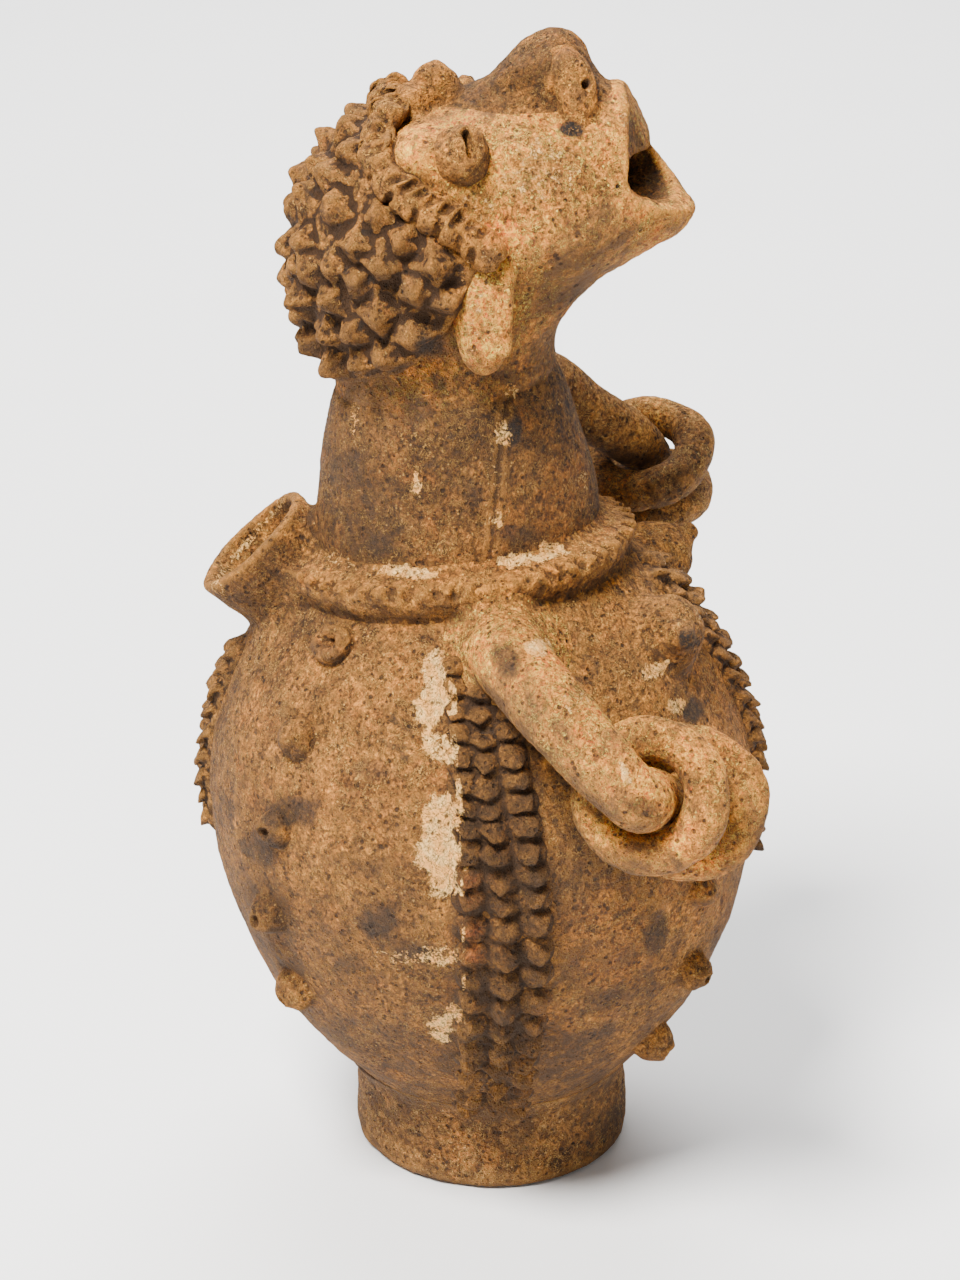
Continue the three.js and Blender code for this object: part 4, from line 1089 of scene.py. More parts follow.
# ------------------------------------------------------------------ diadem
near_px = [(414, 78), (400, 94), (389, 118), (385, 145), (392, 172), (407, 194), (430, 212), (456, 229), (480, 244), (496, 256)]
near_pts = [hit(x, y, head_f) for x, y in near_px]
near_pts = [p for p in near_pts if p is not None]
top_pts = [np.array([-18.0, 37.0, 467.5]), np.array([0.0, 36.0, 469.5]), np.array([18.0, 37.0, 467.5])]
line = near_pts[::-1] + top_pts + [mirrored(p) for p in near_pts]
# order by how far round the head they lie, so the top joins smoothly
line = sorted(line, key=lambda p: math.atan2(p[0], p[2] - 405))
DIA = smooth_curve(np.array(line), 220)
for _ in range(24):
    DIA[1:-1] = DIA[1:-1] * 0.5 + 0.25 * (DIA[:-2] + DIA[2:])
DIA_N = np.array([out_of(head_f, p) for p in DIA])


def along(curve):
    return np.r_[0, np.cumsum(np.linalg.norm(np.diff(curve, axis=0), axis=1))]


# which way across the ridge the face lies
mid_ = len(DIA) // 4
HAND = 1.0 if np.cross(DIA_N[mid_], np.gradient(DIA, axis=0)[mid_])[1] < 0 else -1.0


def make_diadem():
    v = Vol(DIA.min(0) - 18, DIA.max(0) + 18, 0.75)
    s = along(DIA)
    T = np.gradient(DIA, axis=0)
    T /= np.linalg.norm(T, axis=1)[:, None]
    for k in range(0, len(DIA) - 1):
        ends = min(1.0, min(s[k], s[-1] - s[k]) / 9 + 0.55)
        side = np.cross(DIA_N[k], T[k])
        wob = 0.7 * math.sin(s[k] * 0.33) + 0.5 * math.sin(s[k] * 0.91)
        for off, r in ((-2.2, 5.0), (2.4, 5.2)):
            p = (DIA[k] + DIA_N[k] * 4.4 + side * off).astype(np.float32)
            rr = (r + wob) * ends
            v.stamp(p, 13, lambda P: np.linalg.norm(P - p, axis=-1) - rr, 0.8)
    v.A -= v.sample(lambda P: 0.8 * vn(P, 8, 24) + 0.4 * vn(P, 4, 25))
    # nicks pressed into the edge by the face, a few into the edge by the hair
    rng = np.random.default_rng(4)
    for hand, gap, r0 in ((1, 5.2, 1.5), (-1, 9.5, 1.2)):
        pos = 7.0 + rng.uniform(0, 2)
        while pos < s[-1] - 7:
            i = int(np.searchsorted(s, pos))
            t, n = T[i], DIA_N[i]
            side = np.cross(n, t) * hand * HAND
            slant = rng.uniform(0.2, 0.5)
            a = DIA[i] + side * 9.2 + n * 5.2 - t * slant * 3
            b = DIA[i] + side * rng.uniform(-0.5, 1.5) + n * (11.2 + rng.uniform(0.0, 0.5)) + t * slant * 3
            r = r0 + rng.uniform(0.2, 0.6)
            v.stamp((a + b) / 2, 14, lambda P: capsule(P, a, b, r * 1.2, r), 0.8, "cut")
            pos += gap * rng.uniform(0.85, 1.18)
    under = v.sample(head_f)
    own = v.A
    A = smin(own, under + 0.5, 2.0)
    A = np.maximum(A, -(under + 2.2))
    v.A = np.maximum(A, own - 5)
    return v.mesh()


build("diadem_clay", *make_diadem(), nodes=("diadem",), slot="smoked_clay", look=CLAY_FEATURE, fine=0.2, tone=(0.3, 0, 0))

# ------------------------------------------------------------------ ears
for s, side in ((-1, "right"), (1, "left")):
    c = np.array([s * 51.0, 1.6, 396.5])
    rot = math.radians(7 * s)
    M = np.array([[math.cos(rot), 0, -math.sin(rot)], [0, 1, 0], [math.sin(rot), 0, math.cos(rot)]])

    def ear(P, c=c, M=M, s=s):
        w = P + 0.7 * np.stack([vn(P, 10, 26), vn(P, 10, 27), vn(P, 10, 28)], -1)
        q = (w - c.astype(np.float32)) @ M.astype(np.float32)
        q[..., 0] *= s
        t = np.clip((q[..., 2] + 23) / 46, 0, 1)
        wide = 10.6 - 1.8 * t
        a = ellipsoid(np.stack([q[..., 0], q[..., 1] * 10.0 / wide, q[..., 2]], -1), [0, 0, 0], [8.8, 11.2, 23.8])
        # a long shallow hollow and the folded front edge
        a = smax(a, -ellipsoid(q, [11.6, 1.2, -2], [4.0, 4.0, 15]), 4.0)
        a = smin(a, capsule(q, [4.2, -7.6, -12], [2.6, -8.2, 19], 2.9, 3.2), 2.0)
        return a - 0.3 * vn(P, 4, 29)

    def host(P):
        return smin(head_f(P), neck_f(P), 8)

    dress("ear_%s_clay" % side, [min(s * 72, s * 34), -18, 358], [max(s * 72, s * 34), 22, 430], 0.7, ear, host, 5.5,
          "ear_" + side, "head_clay", CLAY_HEAD, deep=3.0)

# ------------------------------------------------------------------ hair
HAIRLINE = [[36, 500], [37, 470], [41, 455], [32, 443], [17, 428], [4, 418], [9, 403], [17, 388], [27, 377], [41, 369], [58, 362], [112, 352], [112, 500]]
hair_zone = outline(HAIRLINE)
KNOB_PX = [(353, 104), (366, 98), (380, 110), (323, 132), (346, 126), (369, 130), (348, 150), (376, 158), (298, 170), (327, 172), (362, 176), (279, 206),
           (304, 195), (333, 206), (352, 200), (379, 215), (400, 212), (273, 246), (300, 241), (329, 231), (356, 245), (400, 241), (420, 232), (380, 262), (308, 270),
           (331, 268), (355, 280), (387, 279), (433, 268), (415, 290), (286, 278), (300, 299), (330, 300), (352, 302), (376, 316), (419, 314), (398, 302), (388, 331), (329, 333),
           (352, 334), (412, 338), (437, 335), (334, 353), (360, 362), (385, 356), (446, 300), (318, 316), (450, 250), (408, 258), (340, 262)]


def cap_f(P):
    return head_f(P) - 3.6


def off_diadem(p, gap=12.5):
    return np.linalg.norm(DIA + DIA_N * 6 - p, axis=1).min() > gap


knobs = []
for x, y in KNOB_PX:
    p = hit(x, y, lambda P: head_f(P) - 7.0)
    if p is None:  # on the outline: the nearest line of sight that meets the skull
        for t in np.linspace(0, 30, 31):
            c = np.array([390.0, 240.0])
            d = unit(c - [x, y])
            p = hit(x + d[0] * t, y + d[1] * t, lambda P: head_f(P) - 7.0)
            if p is not None:
                break
    if p is not None and off_diadem(p, 10.5) and all(np.linalg.norm(p - q) > 11.4 for q in knobs):
        knobs.append(p)
seen = len(knobs)
rng = np.random.default_rng(9)
centre = np.array([0, 26, 414.0])
tries = 0
while tries < 5200:
    tries += 1
    d = unit(rng.normal(size=3))
    if d[1] < -0.35:
        continue
    t = 30.0
    for _ in range(60):  # out from inside the skull to the cap
        v = float(head_f((centre + d * t)[None])[0]) - 7.0
        if v > -0.05:
            break
        t += -v * 0.8
    p = centre + d * t
    if float(hair_zone(p[None].astype(np.float32))[0]) > -4.0 or not off_diadem(p):
        continue
    if p[0] < -6 and project(p[None])[0][0] < 470 and any(np.linalg.norm(p - q) < 13.0 for q in knobs[:seen]):
        continue
    if all(np.linalg.norm(p - q) > 12.6 for q in knobs):
        knobs.append(p)


def make_hair():
    v = Vol([-72, -8, 346], [72, 102, 492], 0.9)
    skull_here = v.sample(head_f)
    nk = v.sample(neck_f)
    zone = v.sample(lambda P: hair_zone(P) + 1.4 * vn(P, 9, 30))
    A = smax(skull_here - 4.2 - v.sample(lambda P: 0.9 * vn(P, 10, 31) + 0.4 * vn(P, 5, 32)), zone, 3.0)
    v.A = A.astype(np.float32)
    rng = np.random.default_rng(21)
    for p in knobs:
        g = out_of(head_f, p)
        n = unit(0.75 * g + 0.25 * unit(p - centre) + rng.normal(size=3) * 0.10)
        ax = axes_of(n, rng.normal(size=3)).astype(np.float32)
        h = rng.uniform(11.0, 14.0)
        r = rng.uniform(7.6, 9.4)
        m = int(rng.integers(4, 6))
        ph = rng.uniform(0, 6.28)
        ang = [ph + 2 * math.pi * i / m + rng.uniform(-0.22, 0.22) for i in range(m)]
        cut = rng.uniform(0.72, 0.92)
        o = (p - g * 4.6).astype(np.float32)

        def knob(P):
            w = P + 0.8 * np.stack([vn(P, 6, 33), vn(P, 6, 34), vn(P, 6, 35)], -1)
            q = (w - o) @ ax
            al = math.atan2(r, h)
            f = None
            for a in ang:
                d = (math.cos(a) * q[..., 0] + math.sin(a) * q[..., 1]) * math.cos(al) + (q[..., 2] - h) * math.sin(al)
                f = d if f is None else smax(f, d, 1.3)
            f = smax(f, q[..., 2] - h * cut, 2.0)
            return np.maximum(f, -q[..., 2] - 3)

        v.stamp(o + n * 4, 17, knob, 1.0)
    v.A -= v.sample(lambda P: 0.34 * vn(P, 4.2, 36) + 0.2 * vn(P, 2.4, 37))
    host = smin(skull_here, nk, 8)
    v.A = np.maximum(v.A, -(host + 2.4))
    return v.mesh()


build("hair_clay", *make_hair(), nodes=("hair",), slot="hair_clay", look=CLAY_HAIR, fine=0.18)


# ------------------------------------------------------------------ arms
ARMS = {
    "right": (np.array([[-64, -4, 262], [-84, -7, 267], [-112.4, -20.7, 260], [-134.2, -39.8, 245.6], [-143.3, -56.5, 231.4],
                        [-128.3, -63.7, 223.9], [-115.6, -76.5, 214], [-97, -79.9, 204.9], [-77, -79.9, 193.8]], float),
              [(0, 15.7), (0.35, 14.4), (0.62, 12.5), (0.74, 10.3), (1, 10.4)]),
    "left": (np.array([[38, 4, 350], [50, -11, 341], [68.5, -24.9, 330.7], [77.5, -43.2, 313.5], [87, -62.3, 298.5],
                       [97.6, -73.2, 282.8], [103.4, -72.4, 263.6], [95.5, -69.5, 242.3], [80.6, -63.5, 220.9]], float),
             [(0, 14), (0.5, 12.2), (0.62, 10.2), (1, 10.4)]),
}
RINGS = {
    "ring_right_1": ([-127.5, -63.4, 224.2], [0.815, -0.352, -0.46]),
    "ring_right_2": ([-105.0, -80.4, 210.8], [0.962, 0.056, -0.267]),
    "ring_left_1": ([92.1, -69.9, 288.4], [0.403, -0.228, -0.886]),
    "ring_left_2": ([105.3, -71.4, 265.2], [0.135, -0.114, -0.984]),
}


def even(path, gap):
    c = catmull(path, 900)
    s = along(c)
    q = np.linspace(0, s[-1], int(s[-1] / gap) + 1)
    return np.stack([np.interp(q, s, c[:, k]) for k in range(3)], 1), q / s[-1]


def collar_host(P):
    return smin(body_f(P), collar_rough(P), 6)


def make_arm(side):
    path, radii = ARMS[side]
    c, t = even(path, 1.1)
    v = Vol(c.min(0) - 26, c.max(0) + 26, 0.95)
    for k in range(len(c)):
        r = float(np.interp(t[k], [a for a, _ in radii], [b for _, b in radii]))
        p = c[k].astype(np.float32)
        v.stamp(c[k], r + 12, lambda P: np.linalg.norm(P - p, axis=-1) - r, 0.9)
    # calm under the rings, lumpier elsewhere
    ring_at = [np.array(RINGS["ring_%s_%d" % (side, i)][0]) for i in (1, 2)]

    def lumps(P):
        near = np.minimum(*[np.linalg.norm(P - a.astype(np.float32), axis=-1) for a in ring_at])
        k = 0.30 + 0.70 * step(13, 26, near)
        return k * (0.95 * vn(P, 24, 50) + 0.45 * vn(P, 11, 51) + 0.25 * vn(P, 5, 52)) - 0.25

    own = v.A - v.sample(lumps)
    if side == "right":
        # the roll's flattened end pressed on to the shoulder
        v.A = own
        v.stamp([-66, -9, 264], 34, lambda P: ellipsoid(P, [-70, -9, 262], [17, 19, 14]), 10)
        v.stamp([-66, -2, 252], 26, lambda P: ellipsoid(P, [-82, 1, 249], [9, 13, 11]), 9)
        own = v.A
        under = v.sample(collar_host)
    else:
        under = v.sample(lambda P: smin(body_f(P), smin(neck_f(P), head_f_wide(P), 6), 6))
    A = smin(own, under + 0.8, 11)
    A = np.maximum(A, -(under + 2.6))
    v.A = np.maximum(A, own - 9.5)
    return v.mesh()


def head_f_wide(P):
    inside = ((P > HV.lo + 1) & (P < HV.lo + HV.h * (HV.n - 2))).all(-1)
    return np.where(inside, head_f(P), 30.0)


# ------------------------------------------------------------------ spout
S0, S1 = np.array([0, 66, 246.0]), np.array([0, 101, 284.0])
SD = unit(S1 - S0)
SL = float(np.linalg.norm(S1 - S0))


def spout_wall(P):
    d = P - S0.astype(np.float32)
    t = d @ SD.astype(np.float32)
    r = np.sqrt(np.maximum((d * d).sum(-1) - t * t, 0))
    w = 0.9 * vn(P, 22, 80) + 0.5 * vn(P, 10, 81) + 0.3 * vn(P, 5, 82)
    out = np.interp(t, [-14, 0, 12, 26, 40, SL], [25, 22.6, 22.2, 24.4, 27.2, 28.6])
    bore = np.interp(t, [-30, 10, 24, SL - 4, SL + 4], [16, 16, 17.5, 22.6, 24.0])
    f = smax(r - out - w * step(SL, SL - 14, t) - 0.3 * w, t - SL + 0.7 + 0.5 * vn(P, 18, 83), 2.6)
    return smax(f, bore + 0.25 * w - r, 2.2), bore - r, t


# ------------------------------------------------------------------ collar
def collar_rough(P):
    """The flange before it is pinched: r and z in the pot's own upright frame; its right side sits higher."""
    q = unlean(P)
    r, z = np.hypot(q[..., 0], q[..., 1]), q[..., 2] + 0.070 * q[..., 0]
    w = 0.9 * vn(P, 26, 60) + 0.4 * vn(P, 9, 61)
    # a crisp upper edge, a gently sloping top back to the neck and an outer face that draws in downwards
    a, b = np.array([58.5, 289.0]), np.array([74.5, 284.6])
    top = ((z - a[1]) * (b[0] - a[0]) - (r - a[0]) * (b[1] - a[1])) / np.hypot(*(b - a)) - 0.6 * w
    outer = (r - 74.6) * 0.96 - (z - 284) * 0.28 - 0.6 * w
    low = (r - 70.8) * 0.35 - (z - 272.6) * 0.94
    return smax(smax(top, outer, 1.8), low, 5)


def make_collar():
    v = Vol([-84, -80, 252], [84, 86, 306], 1.0)
    own = v.sample(collar_rough)
    v.A = own
    rng = np.random.default_rng(31)
    n = 48
    for i in range(n):
        a = 2 * math.pi * (i + rng.uniform(-0.18, 0.18)) / n
        tilt_ = rng.uniform(-0.25, 0.35)
        up = rng.uniform(-0.8, 0.8)
        depth = rng.uniform(0.0, 1.2)
        out = np.array([math.cos(a), math.sin(a), 0])
        tang = np.array([-math.sin(a), math.cos(a), 0])
        rc = 73.6 - depth
        c = np.array([rc * out[0], rc * out[1], 284.2 + up - 0.070 * rc * out[0]])
        lo, hi = c + np.array([0, 0, -4.2]) + tang * tilt_ * 4 + out * 2.4, c + np.array([0, 0, 5.6]) - tang * tilt_ * 5 - out * 2.2
        p0, p1 = lean(lo), lean(hi)
        r = rng.uniform(2.7, 3.5)
        v.stamp((p0 + p1) / 2, 15, lambda P: capsule(P, p0, p1, r * 0.8, r * 1.15), 0.8, "cut")
    v.A -= v.sample(lambda P: 0.5 * vn(P, 7, 62) + 0.3 * vn(P, 3.6, 63))
    own = v.A.copy()
    under = v.sample(lambda P: smin(body_f(P), neck_f(P) + 0.2, 4))
    A = smin(own, under + 0.7, 6)
    A = np.maximum(A, -(under + 2.4))
    A = np.maximum(A, own - 8.5)
    v.A = smax(A, v.sample(lambda P: spout_wall(P)[1] + 1.5), 1.0)  # open where the spout's passage runs
    return v.mesh()


build("collar_clay", *make_collar(), nodes=("collar_band",), slot="slipped_clay", look=CLAY_COLLAR, fine=0.2)
for side in ("right", "left"):
    build("arm_%s_clay" % side, *make_arm(side), nodes=("arm_" + side,), slot="body_clay", look=CLAY_ARM if side == "right" else CLAY_ARM_LEFT_SHADED, fine=0.2)


# ------------------------------------------------------------------ rings
def make_ring(c, a, seed):
    n, m = ((240, 80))
    ax = axes_of(a, [0.3, 0.5, 0.8])
    rings = []
    rng = np.random.default_rng(seed)
    ph = rng.uniform(0, 6.28, 4)
    for i in range(n):
        u = 2 * math.pi * i / n
        w = 2 * math.pi * np.arange(m) / m
        cu, su = math.cos(u), math.sin(u)
        d = np.stack([cu * np.cos(w), su * np.cos(w), np.sin(w)], 1)
        base = np.array([22.8 * cu, 22.8 * su, 0]) + d * 9.2
        grow = 0.55 + 0.45 * np.cos(w)  # only the outer side swells and shrinks
        swell = 0.5 * math.sin(2 * u + ph[0]) + 0.4 * math.sin(3 * u + ph[1]) + 0.35 * math.sin(5 * u + ph[2])
        e = 0.62 * vn(base + seed * 40, 13, 70) + 0.34 * vn(base + seed * 40, 6, 71) + 0.16 * vn(base + seed * 40, 3, 72)
        join = 0.9 * math.exp(-((((u - ph[3] + math.pi) % (2 * math.pi)) - math.pi) / 0.10) ** 2)
        p = base + d * ((swell + 0.1) * grow + e * (0.35 + 0.65 * grow) - join * grow - 0.5 * (1 - grow))[:, None]
        rings.append(p @ ax.T + np.asarray(c))
    return outward(*grid_mesh(rings, closed_v=True))


for k, (name, (c, a)) in enumerate(RINGS.items()):
    build(name + "_clay", *make_ring(c, a, k + 1), body=name + "_body", nodes=(name,), slot="ring_clay", look=CLAY_RING if "right" in name else CLAY_RING_LEFT_SHADED, fine=0.12)


def make_spout():
    v = Vol([-46, 44, 222], [46, 136, 312], 0.95)
    own = v.sample(lambda P: spout_wall(P)[0])
    v.A = own
    v.stamp([-20, 82, 262], 20, lambda P: ellipsoid(P, [-21.5, 78.0, 268.0], [5.5, 6.5, 6]), 4)
    v.stamp([-10, 74, 238], 26, lambda P: ellipsoid(P, [-14, 86, 243], [10, 8, 9]), 8)
    own = v.A
    under = v.sample(lambda P: smin(smin(body_f(P), neck_f(P), 5), collar_rough(P), 5))
    bore = v.sample(lambda P: 16.2 - (16.2 - spout_wall(P)[1]) * 1.0)
    A = smin(own, under + 0.8, 10)
    A = np.maximum(A, -(under + 2.4))
    A = np.maximum(A, own - 9)
    hollow = v.sample(lambda P: spout_wall(P)[1])  # positive inside the bore
    v.A = smax(A, hollow, 1.2)
    return v.mesh()


build("spout_clay", *make_spout(), nodes=("spout",), slot="body_clay", look=CLAY, fine=0.2)


# ------------------------------------------------------------------ bands of pinched scales
def settle(p):
    """Moves a point on to the body's surface."""
    for _ in range(3):
        n = out_of(body_f, p)
        p = p - n * float(body_f(p[None])[0])
    return p


ROWS_Y = [668, 690, 713, 736, 760, 783, 806, 829, 852, 876, 900, 926, 952, 977, 1001, 1023, 1043, 1061, 1078, 1093, 1106]
COLS = {"y": [660, 760, 840, 920, 1000, 1060, 1110], "x": [[455, 463, 468, 471, 474, 472, 470], [475, 484, 493, 505, 505, 499, 494], [500, 511, 526, 536, 534, 522, 514]]}


def side_scales():
    out = []
    rng = np.random.default_rng(41)
    for c in range(3):
        for y in ROWS_Y:
            yy = y + rng.uniform(-2.5, 2.5) + (0, 5, -2)[c]
            x = np.interp(yy, COLS["y"], COLS["x"][c]) + rng.uniform(-1.2, 1.2)
            p = hit(x, yy, body_f)
            if p is not None and p[2] > 42:
                out.append((p, c - 1))
    return out


def strip_scales(azimuth, half, columns, start, end, pitch, seed):
    out = []
    rng = np.random.default_rng(seed)
    z = start
    while z > end:
        s = float(body_r(z + 1) - body_r(z - 1)) / 2
        for c in range(columns):
            o = 0 if columns == 1 else -1 + 2 * c / (columns - 1)
            p = on_body(azimuth + o * half * 0.62 + rng.uniform(-0.5, 0.5), z + rng.uniform(-1, 1) + (1.6 if c % 2 else 0))
            out.append((settle(p), o))
        z -= pitch / math.hypot(1, s)
    return out


def make_band(scales, seed, size=1.0):
    pts = np.array([p for p, _ in scales])
    v = Vol(pts.min(0) - 15, pts.max(0) + 15, 0.85)
    rng = np.random.default_rng(seed)
    # the strip that the scales were pinched from
    for p, o in scales:
        q = p.astype(np.float32)
        v.stamp(p, 13, lambda P: ellipsoid(P, q, [7.6, 7.6, 7.6]), 0)
    body = v.sample(body_f)
    strip = smax(v.A + 1.0, body - 1.7 - v.sample(lambda P: 0.6 * vn(P, 8, 90)), 2.0)
    v.A = strip
    for p, o in scales:
        n = out_of(body_f, p)
        down = unit(np.array([0, 0, -1.0]) - n * n[2] * -1.0)
        side = np.cross(down, n)  # towards +o when seen from outside
        lat = -o * 0.55
        d = unit(down + side * lat + rng.normal(size=3) * 0.16)
        tiltk = math.radians(rng.uniform(24, 38))
        e = unit(math.cos(tiltk) * d + math.sin(tiltk) * n)
        ax = axes_of(np.cross(np.cross(e, n), e), e)  # x along the scale, z through its thickness
        r = [rng.uniform(6.4, 8.4) * size, rng.uniform(5.0, 6.4) * size, rng.uniform(3.1, 4.0) * size]
        c = p + n * rng.uniform(1.3, 2.2) * size + side * lat * 1.2
        across = np.cross(e, n)
        tipa = unit(0.80 * e - 0.45 * n + 0.42 * across).astype(np.float32)
        tipb = unit(0.80 * e - 0.45 * n - 0.42 * across).astype(np.float32)
        tip = (c + e * r[0] * rng.uniform(0.52, 0.66)).astype(np.float32)

        def scale(P):
            w = P + 0.9 * np.stack([vn(P, 5, 91), vn(P, 5, 92), vn(P, 5, 93)], -1)
            return smax(smax(ellipsoid(w, c, r, ax), (w - tip) @ tipa, 0.8), (w - tip) @ tipb, 0.8)

        v.stamp(c, 14, scale, 0.9)
        # the thumb's dent under each scale
        k = c + e * r[0] * 0.95 - n * 2.0 + down * 1.2
        v.stamp(k, 8, lambda P: ellipsoid(P, k, [3.2, 3.4, 2.6], axes_of(n, d)), 1.2, "cut")
    v.A -= v.sample(lambda P: 0.32 * vn(P, 3.6, 94) + 0.15 * vn(P, 2.0, 95))
    own = v.A
    A = smin(own, body + 0.8, 4)
    A = np.maximum(A, -(body + 2.2))
    v.A = np.maximum(A, own - 5)
    return v.mesh()


near_scales = side_scales()


def embers(V):
    """A few orange-red scales in the column nearest the back."""
    u, v = project(V)
    red = sum(np.exp(-(((u - x) / 9) ** 2) - ((v - y) / r) ** 2) for x, y, r in ((468, 884, 8), (469, 905, 7), (472, 932, 9), (474, 955, 8)))
    red = np.clip(red * (0.8 + 0.6 * vn(V, 4, 78)), 0, 1) * (V[:, 0] < -60)
    return np.stack([0 * red, red, 0 * red], 1)


build("band_right_clay", *make_band(near_scales, 51), nodes=("band_right",), slot="band_clay", look=CLAY_BAND, fine=0.18, tone=embers)
far_scales = [(settle(mirrored(p)), -o) for p, o in near_scales]
build("band_left_clay", *make_band(far_scales, 52), nodes=("band_left",), slot="band_clay", look=CLAY_BAND, fine=0.18)
build("band_front_clay", *make_band(strip_scales(89, 8.4, 3, 262, 144, 9.6, 53), 54), nodes=("band_front",), slot="band_clay", look=CLAY_BAND, fine=0.18, tone=(-0.3, 0, 0))
build("band_back_clay", *make_band(strip_scales(270, 5.6, 2, 230, 152, 9.6, 55), 56), nodes=("band_back",), slot="band_clay", look=CLAY_BAND, fine=0.18, tone=(-0.3, 0, 0))

# ------------------------------------------------------------------ breasts and bosses
BREASTS = {"right": (64, 252, 19, 19, (-0.7, 0.3, -0.35)), "left": (116, 254, 19, 20, (0, -0.35, 0))}
for side, (az, z, base, tall, off) in BREASTS.items():
    p = on_body(az, z)
    n = out_of(body_f, p)
    n = unit(n + np.array(off))

    def breast(P, p=p, n=n, base=base, tall=tall):
        w = P + 0.8 * vn(P, 12, 100)[..., None]
        ax = axes_of(n)
        a = ellipsoid(w, p + n * 0.5, [base * 0.86, base * 0.86, tall * 0.78], ax)
        a = smin(a, capsule(w, p + n * (tall * 0.30), p + n * (tall * 0.80), base * 0.54, base * 0.30), 6)
        a = smin(a, ellipsoid(w, p + n * (tall * 1.0), [4.6, 4.4, 4.2], ax), 1.2)  # the tip, a pellet of its own
        a = smax(a, -ellipsoid(w, p + n * (tall * 1.26), [1.7, 1.5, 1.6], ax), 1.0)
        return a - 0.5 * vn(P, 8, 101) - 0.25 * vn(P, 4, 102)

    c = p + n * 6
    dress("breast_%s_clay" % side, c - 36, c + 36, 0.9, breast, body_f, 8, "breast_" + side, "body_clay", CLAY, deep=2.6, sink=0.7, reach=9)

BOSSES_BACK = [(-43, 263.5, 9, 7), (-44.5, 226, 8.5, 9), (-45.5, 188, 8, 8), (-50, 145, 9, 9.5), (-50, 105, 10, 10.5)]
BOSSES_FRONT = [(50.5, 156, 7, 6.5), (52, 115, 8.6, 11), (52.5, 73, 9.6, 11.5)]


def make_boss(name, az, z, base, tall, kind, seed):
    rng = np.random.default_rng(seed)
    p = settle(on_body(az, z))
    n = unit(out_of(body_f, p) + rng.normal(size=3) * 0.06)
    ax = axes_of(n, rng.normal(size=3))

    def boss(P):
        w = P + 0.7 * np.stack([vn(P, 6, seed), vn(P, 6, seed + 1), vn(P, 6, seed + 2)], -1)
        q = (w - p.astype(np.float32)) @ ax.astype(np.float32)
        if kind == "ring":
            r = np.hypot(q[..., 0], q[..., 1])
            a = np.hypot(r - 5.6, (q[..., 2] - 2.8) * 0.9) - 3.2
            a = smin(a, ellipsoid(q, [1.8, 1.2, 0.6], [2.8, 3.2, 3.6]), 1.6)
            return a - 0.3 * vn(P, 3.5, 105)
        a = ellipsoid(q, [0, 0, 1.0], [base * 0.98, base * 0.98, tall * 0.80])
        a = smin(a, capsule(q, [0, 0, tall * 0.2], [0, 0, tall * 0.70], base * 0.66, base * 0.42), 2.5)
        if kind == "cup":
            a = smax(a, -ellipsoid(q, [0.8, -0.6, tall * 1.10], [2.9, 2.6, 5.0]), 1.2)
        return a - 0.35 * vn(P, 4, 106)

    dress(name + "_clay", p - 22, p + 22, 0.7, boss, body_f, 3.2, name, "pellet_clay", CLAY, deep=2.4, sink=0.5, fine=0.16, tone=(0.15, 0, 0))


for i, b in enumerate(BOSSES_BACK):
    kind = ("ring", "round", "cup", "cup", "cup")[i]
    make_boss("boss_back_right_%d" % (i + 1), *b, kind, 200 + i)
    make_boss("boss_back_left_%d" % (i + 1), 180 - b[0], *b[1:], kind, 220 + i)
for i, b in enumerate(BOSSES_FRONT):
    kind = ("round", "cup", "cup")[i]
    make_boss("boss_front_right_%d" % (i + 1), *b, kind, 240 + i)
    make_boss("boss_front_left_%d" % (i + 1), 180 - b[0], *b[1:], kind, 260 + i)


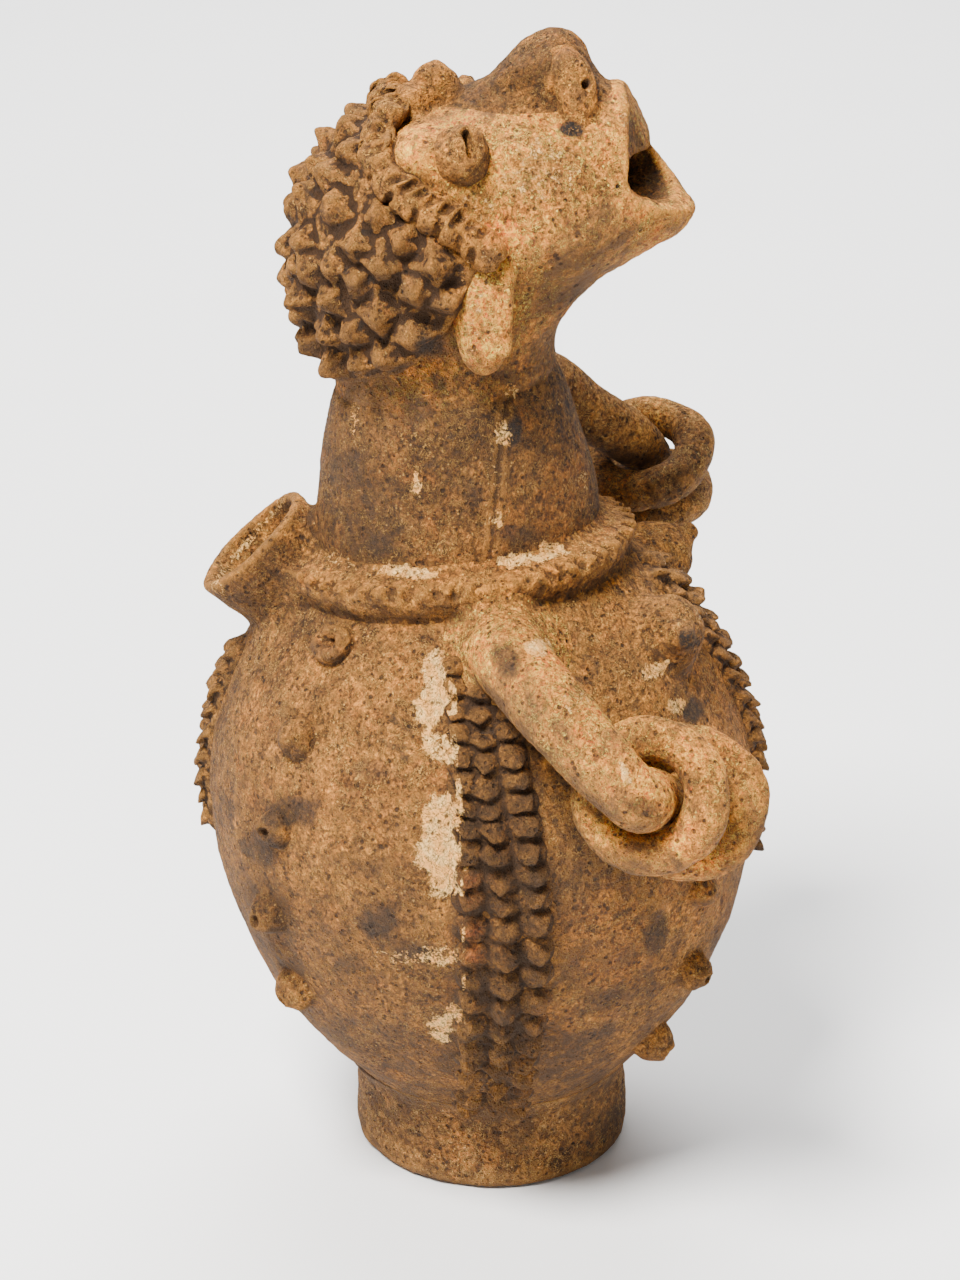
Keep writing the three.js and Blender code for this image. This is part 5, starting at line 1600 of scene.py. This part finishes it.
# ------------------------------------------------------------------ floor, light, camera
def stage_floor():
    me = bpy.data.meshes.new("floor")
    s, n = 14.0, 2
    me.from_pydata([(-s, -s, -0.0004), (s, -s, -0.0004), (s, s, -0.0004), (-s, s, -0.0004)], [], [(0, 1, 2, 3)])
    ob = bpy.data.objects.new("floor", me)
    bpy.context.scene.collection.objects.link(ob)
    g = Graph("pale_floor")
    c = g.node("ShaderNodeTexCoord").outputs["Object"]
    b = g.node("ShaderNodeBsdfPrincipled")
    g.put(b.inputs["Base Color"], g.ramp(g.noise(c, 3.0, 2.0), [(0.3, (0.93, 0.93, 0.93)), (0.7, (0.95, 0.95, 0.95))]))
    b.inputs["Roughness"].default_value = 0.55
    b.inputs["Specular IOR Level"].default_value = 0.2
    o = g.node("ShaderNodeOutputMaterial")
    g.t.links.new(b.outputs[0], o.inputs[0])
    me.materials.append(g.mat)


def area(name, at, size, power, color=(1, 1, 1), to=(0.0, 0.0, 0.26)):
    li = bpy.data.lights.new(name, "AREA")
    li.shape, li.size, li.energy, li.color = "DISK", size, power, color
    ob = bpy.data.objects.new(name, li)
    bpy.context.scene.collection.objects.link(ob)
    ob.location = at
    ob.rotation_euler = (Vector(to) - Vector(at)).to_track_quat("-Z", "Y").to_euler()


stage_floor()
area("key", (-1.25, 0.95, 2.9), 1.1, 335, (1.0, 0.975, 0.94))
area("sweep", (2.5, 0.1, 3.1), 3.2, 290, (1.0, 1.0, 1.0), to=(2.5, 0.0, 0.0))
area("fill", (-2.2, -1.0, 0.8), 1.4, 5, (1.0, 0.98, 0.96))

world = bpy.data.worlds.new("studio")
world.use_nodes = True
world.node_tree.nodes["Background"].inputs[0].default_value = (1.0, 1.0, 1.0, 1.0)
world.node_tree.nodes["Background"].inputs[1].default_value = 0.27
bpy.context.scene.world = world

cam = bpy.data.cameras.new("camera")
cam.lens, cam.sensor_fit, cam.sensor_width = 90.0, "AUTO", 36.0
cam.clip_start, cam.clip_end = 0.05, 60.0
eye = bpy.data.objects.new("camera", cam)
bpy.context.scene.collection.objects.link(eye)
eye.location = Vector(row(EYE))
eye.rotation_euler = (Vector(row(TARGET)) - eye.location).to_track_quat("-Z", "Y").to_euler()
bpy.context.scene.camera = eye
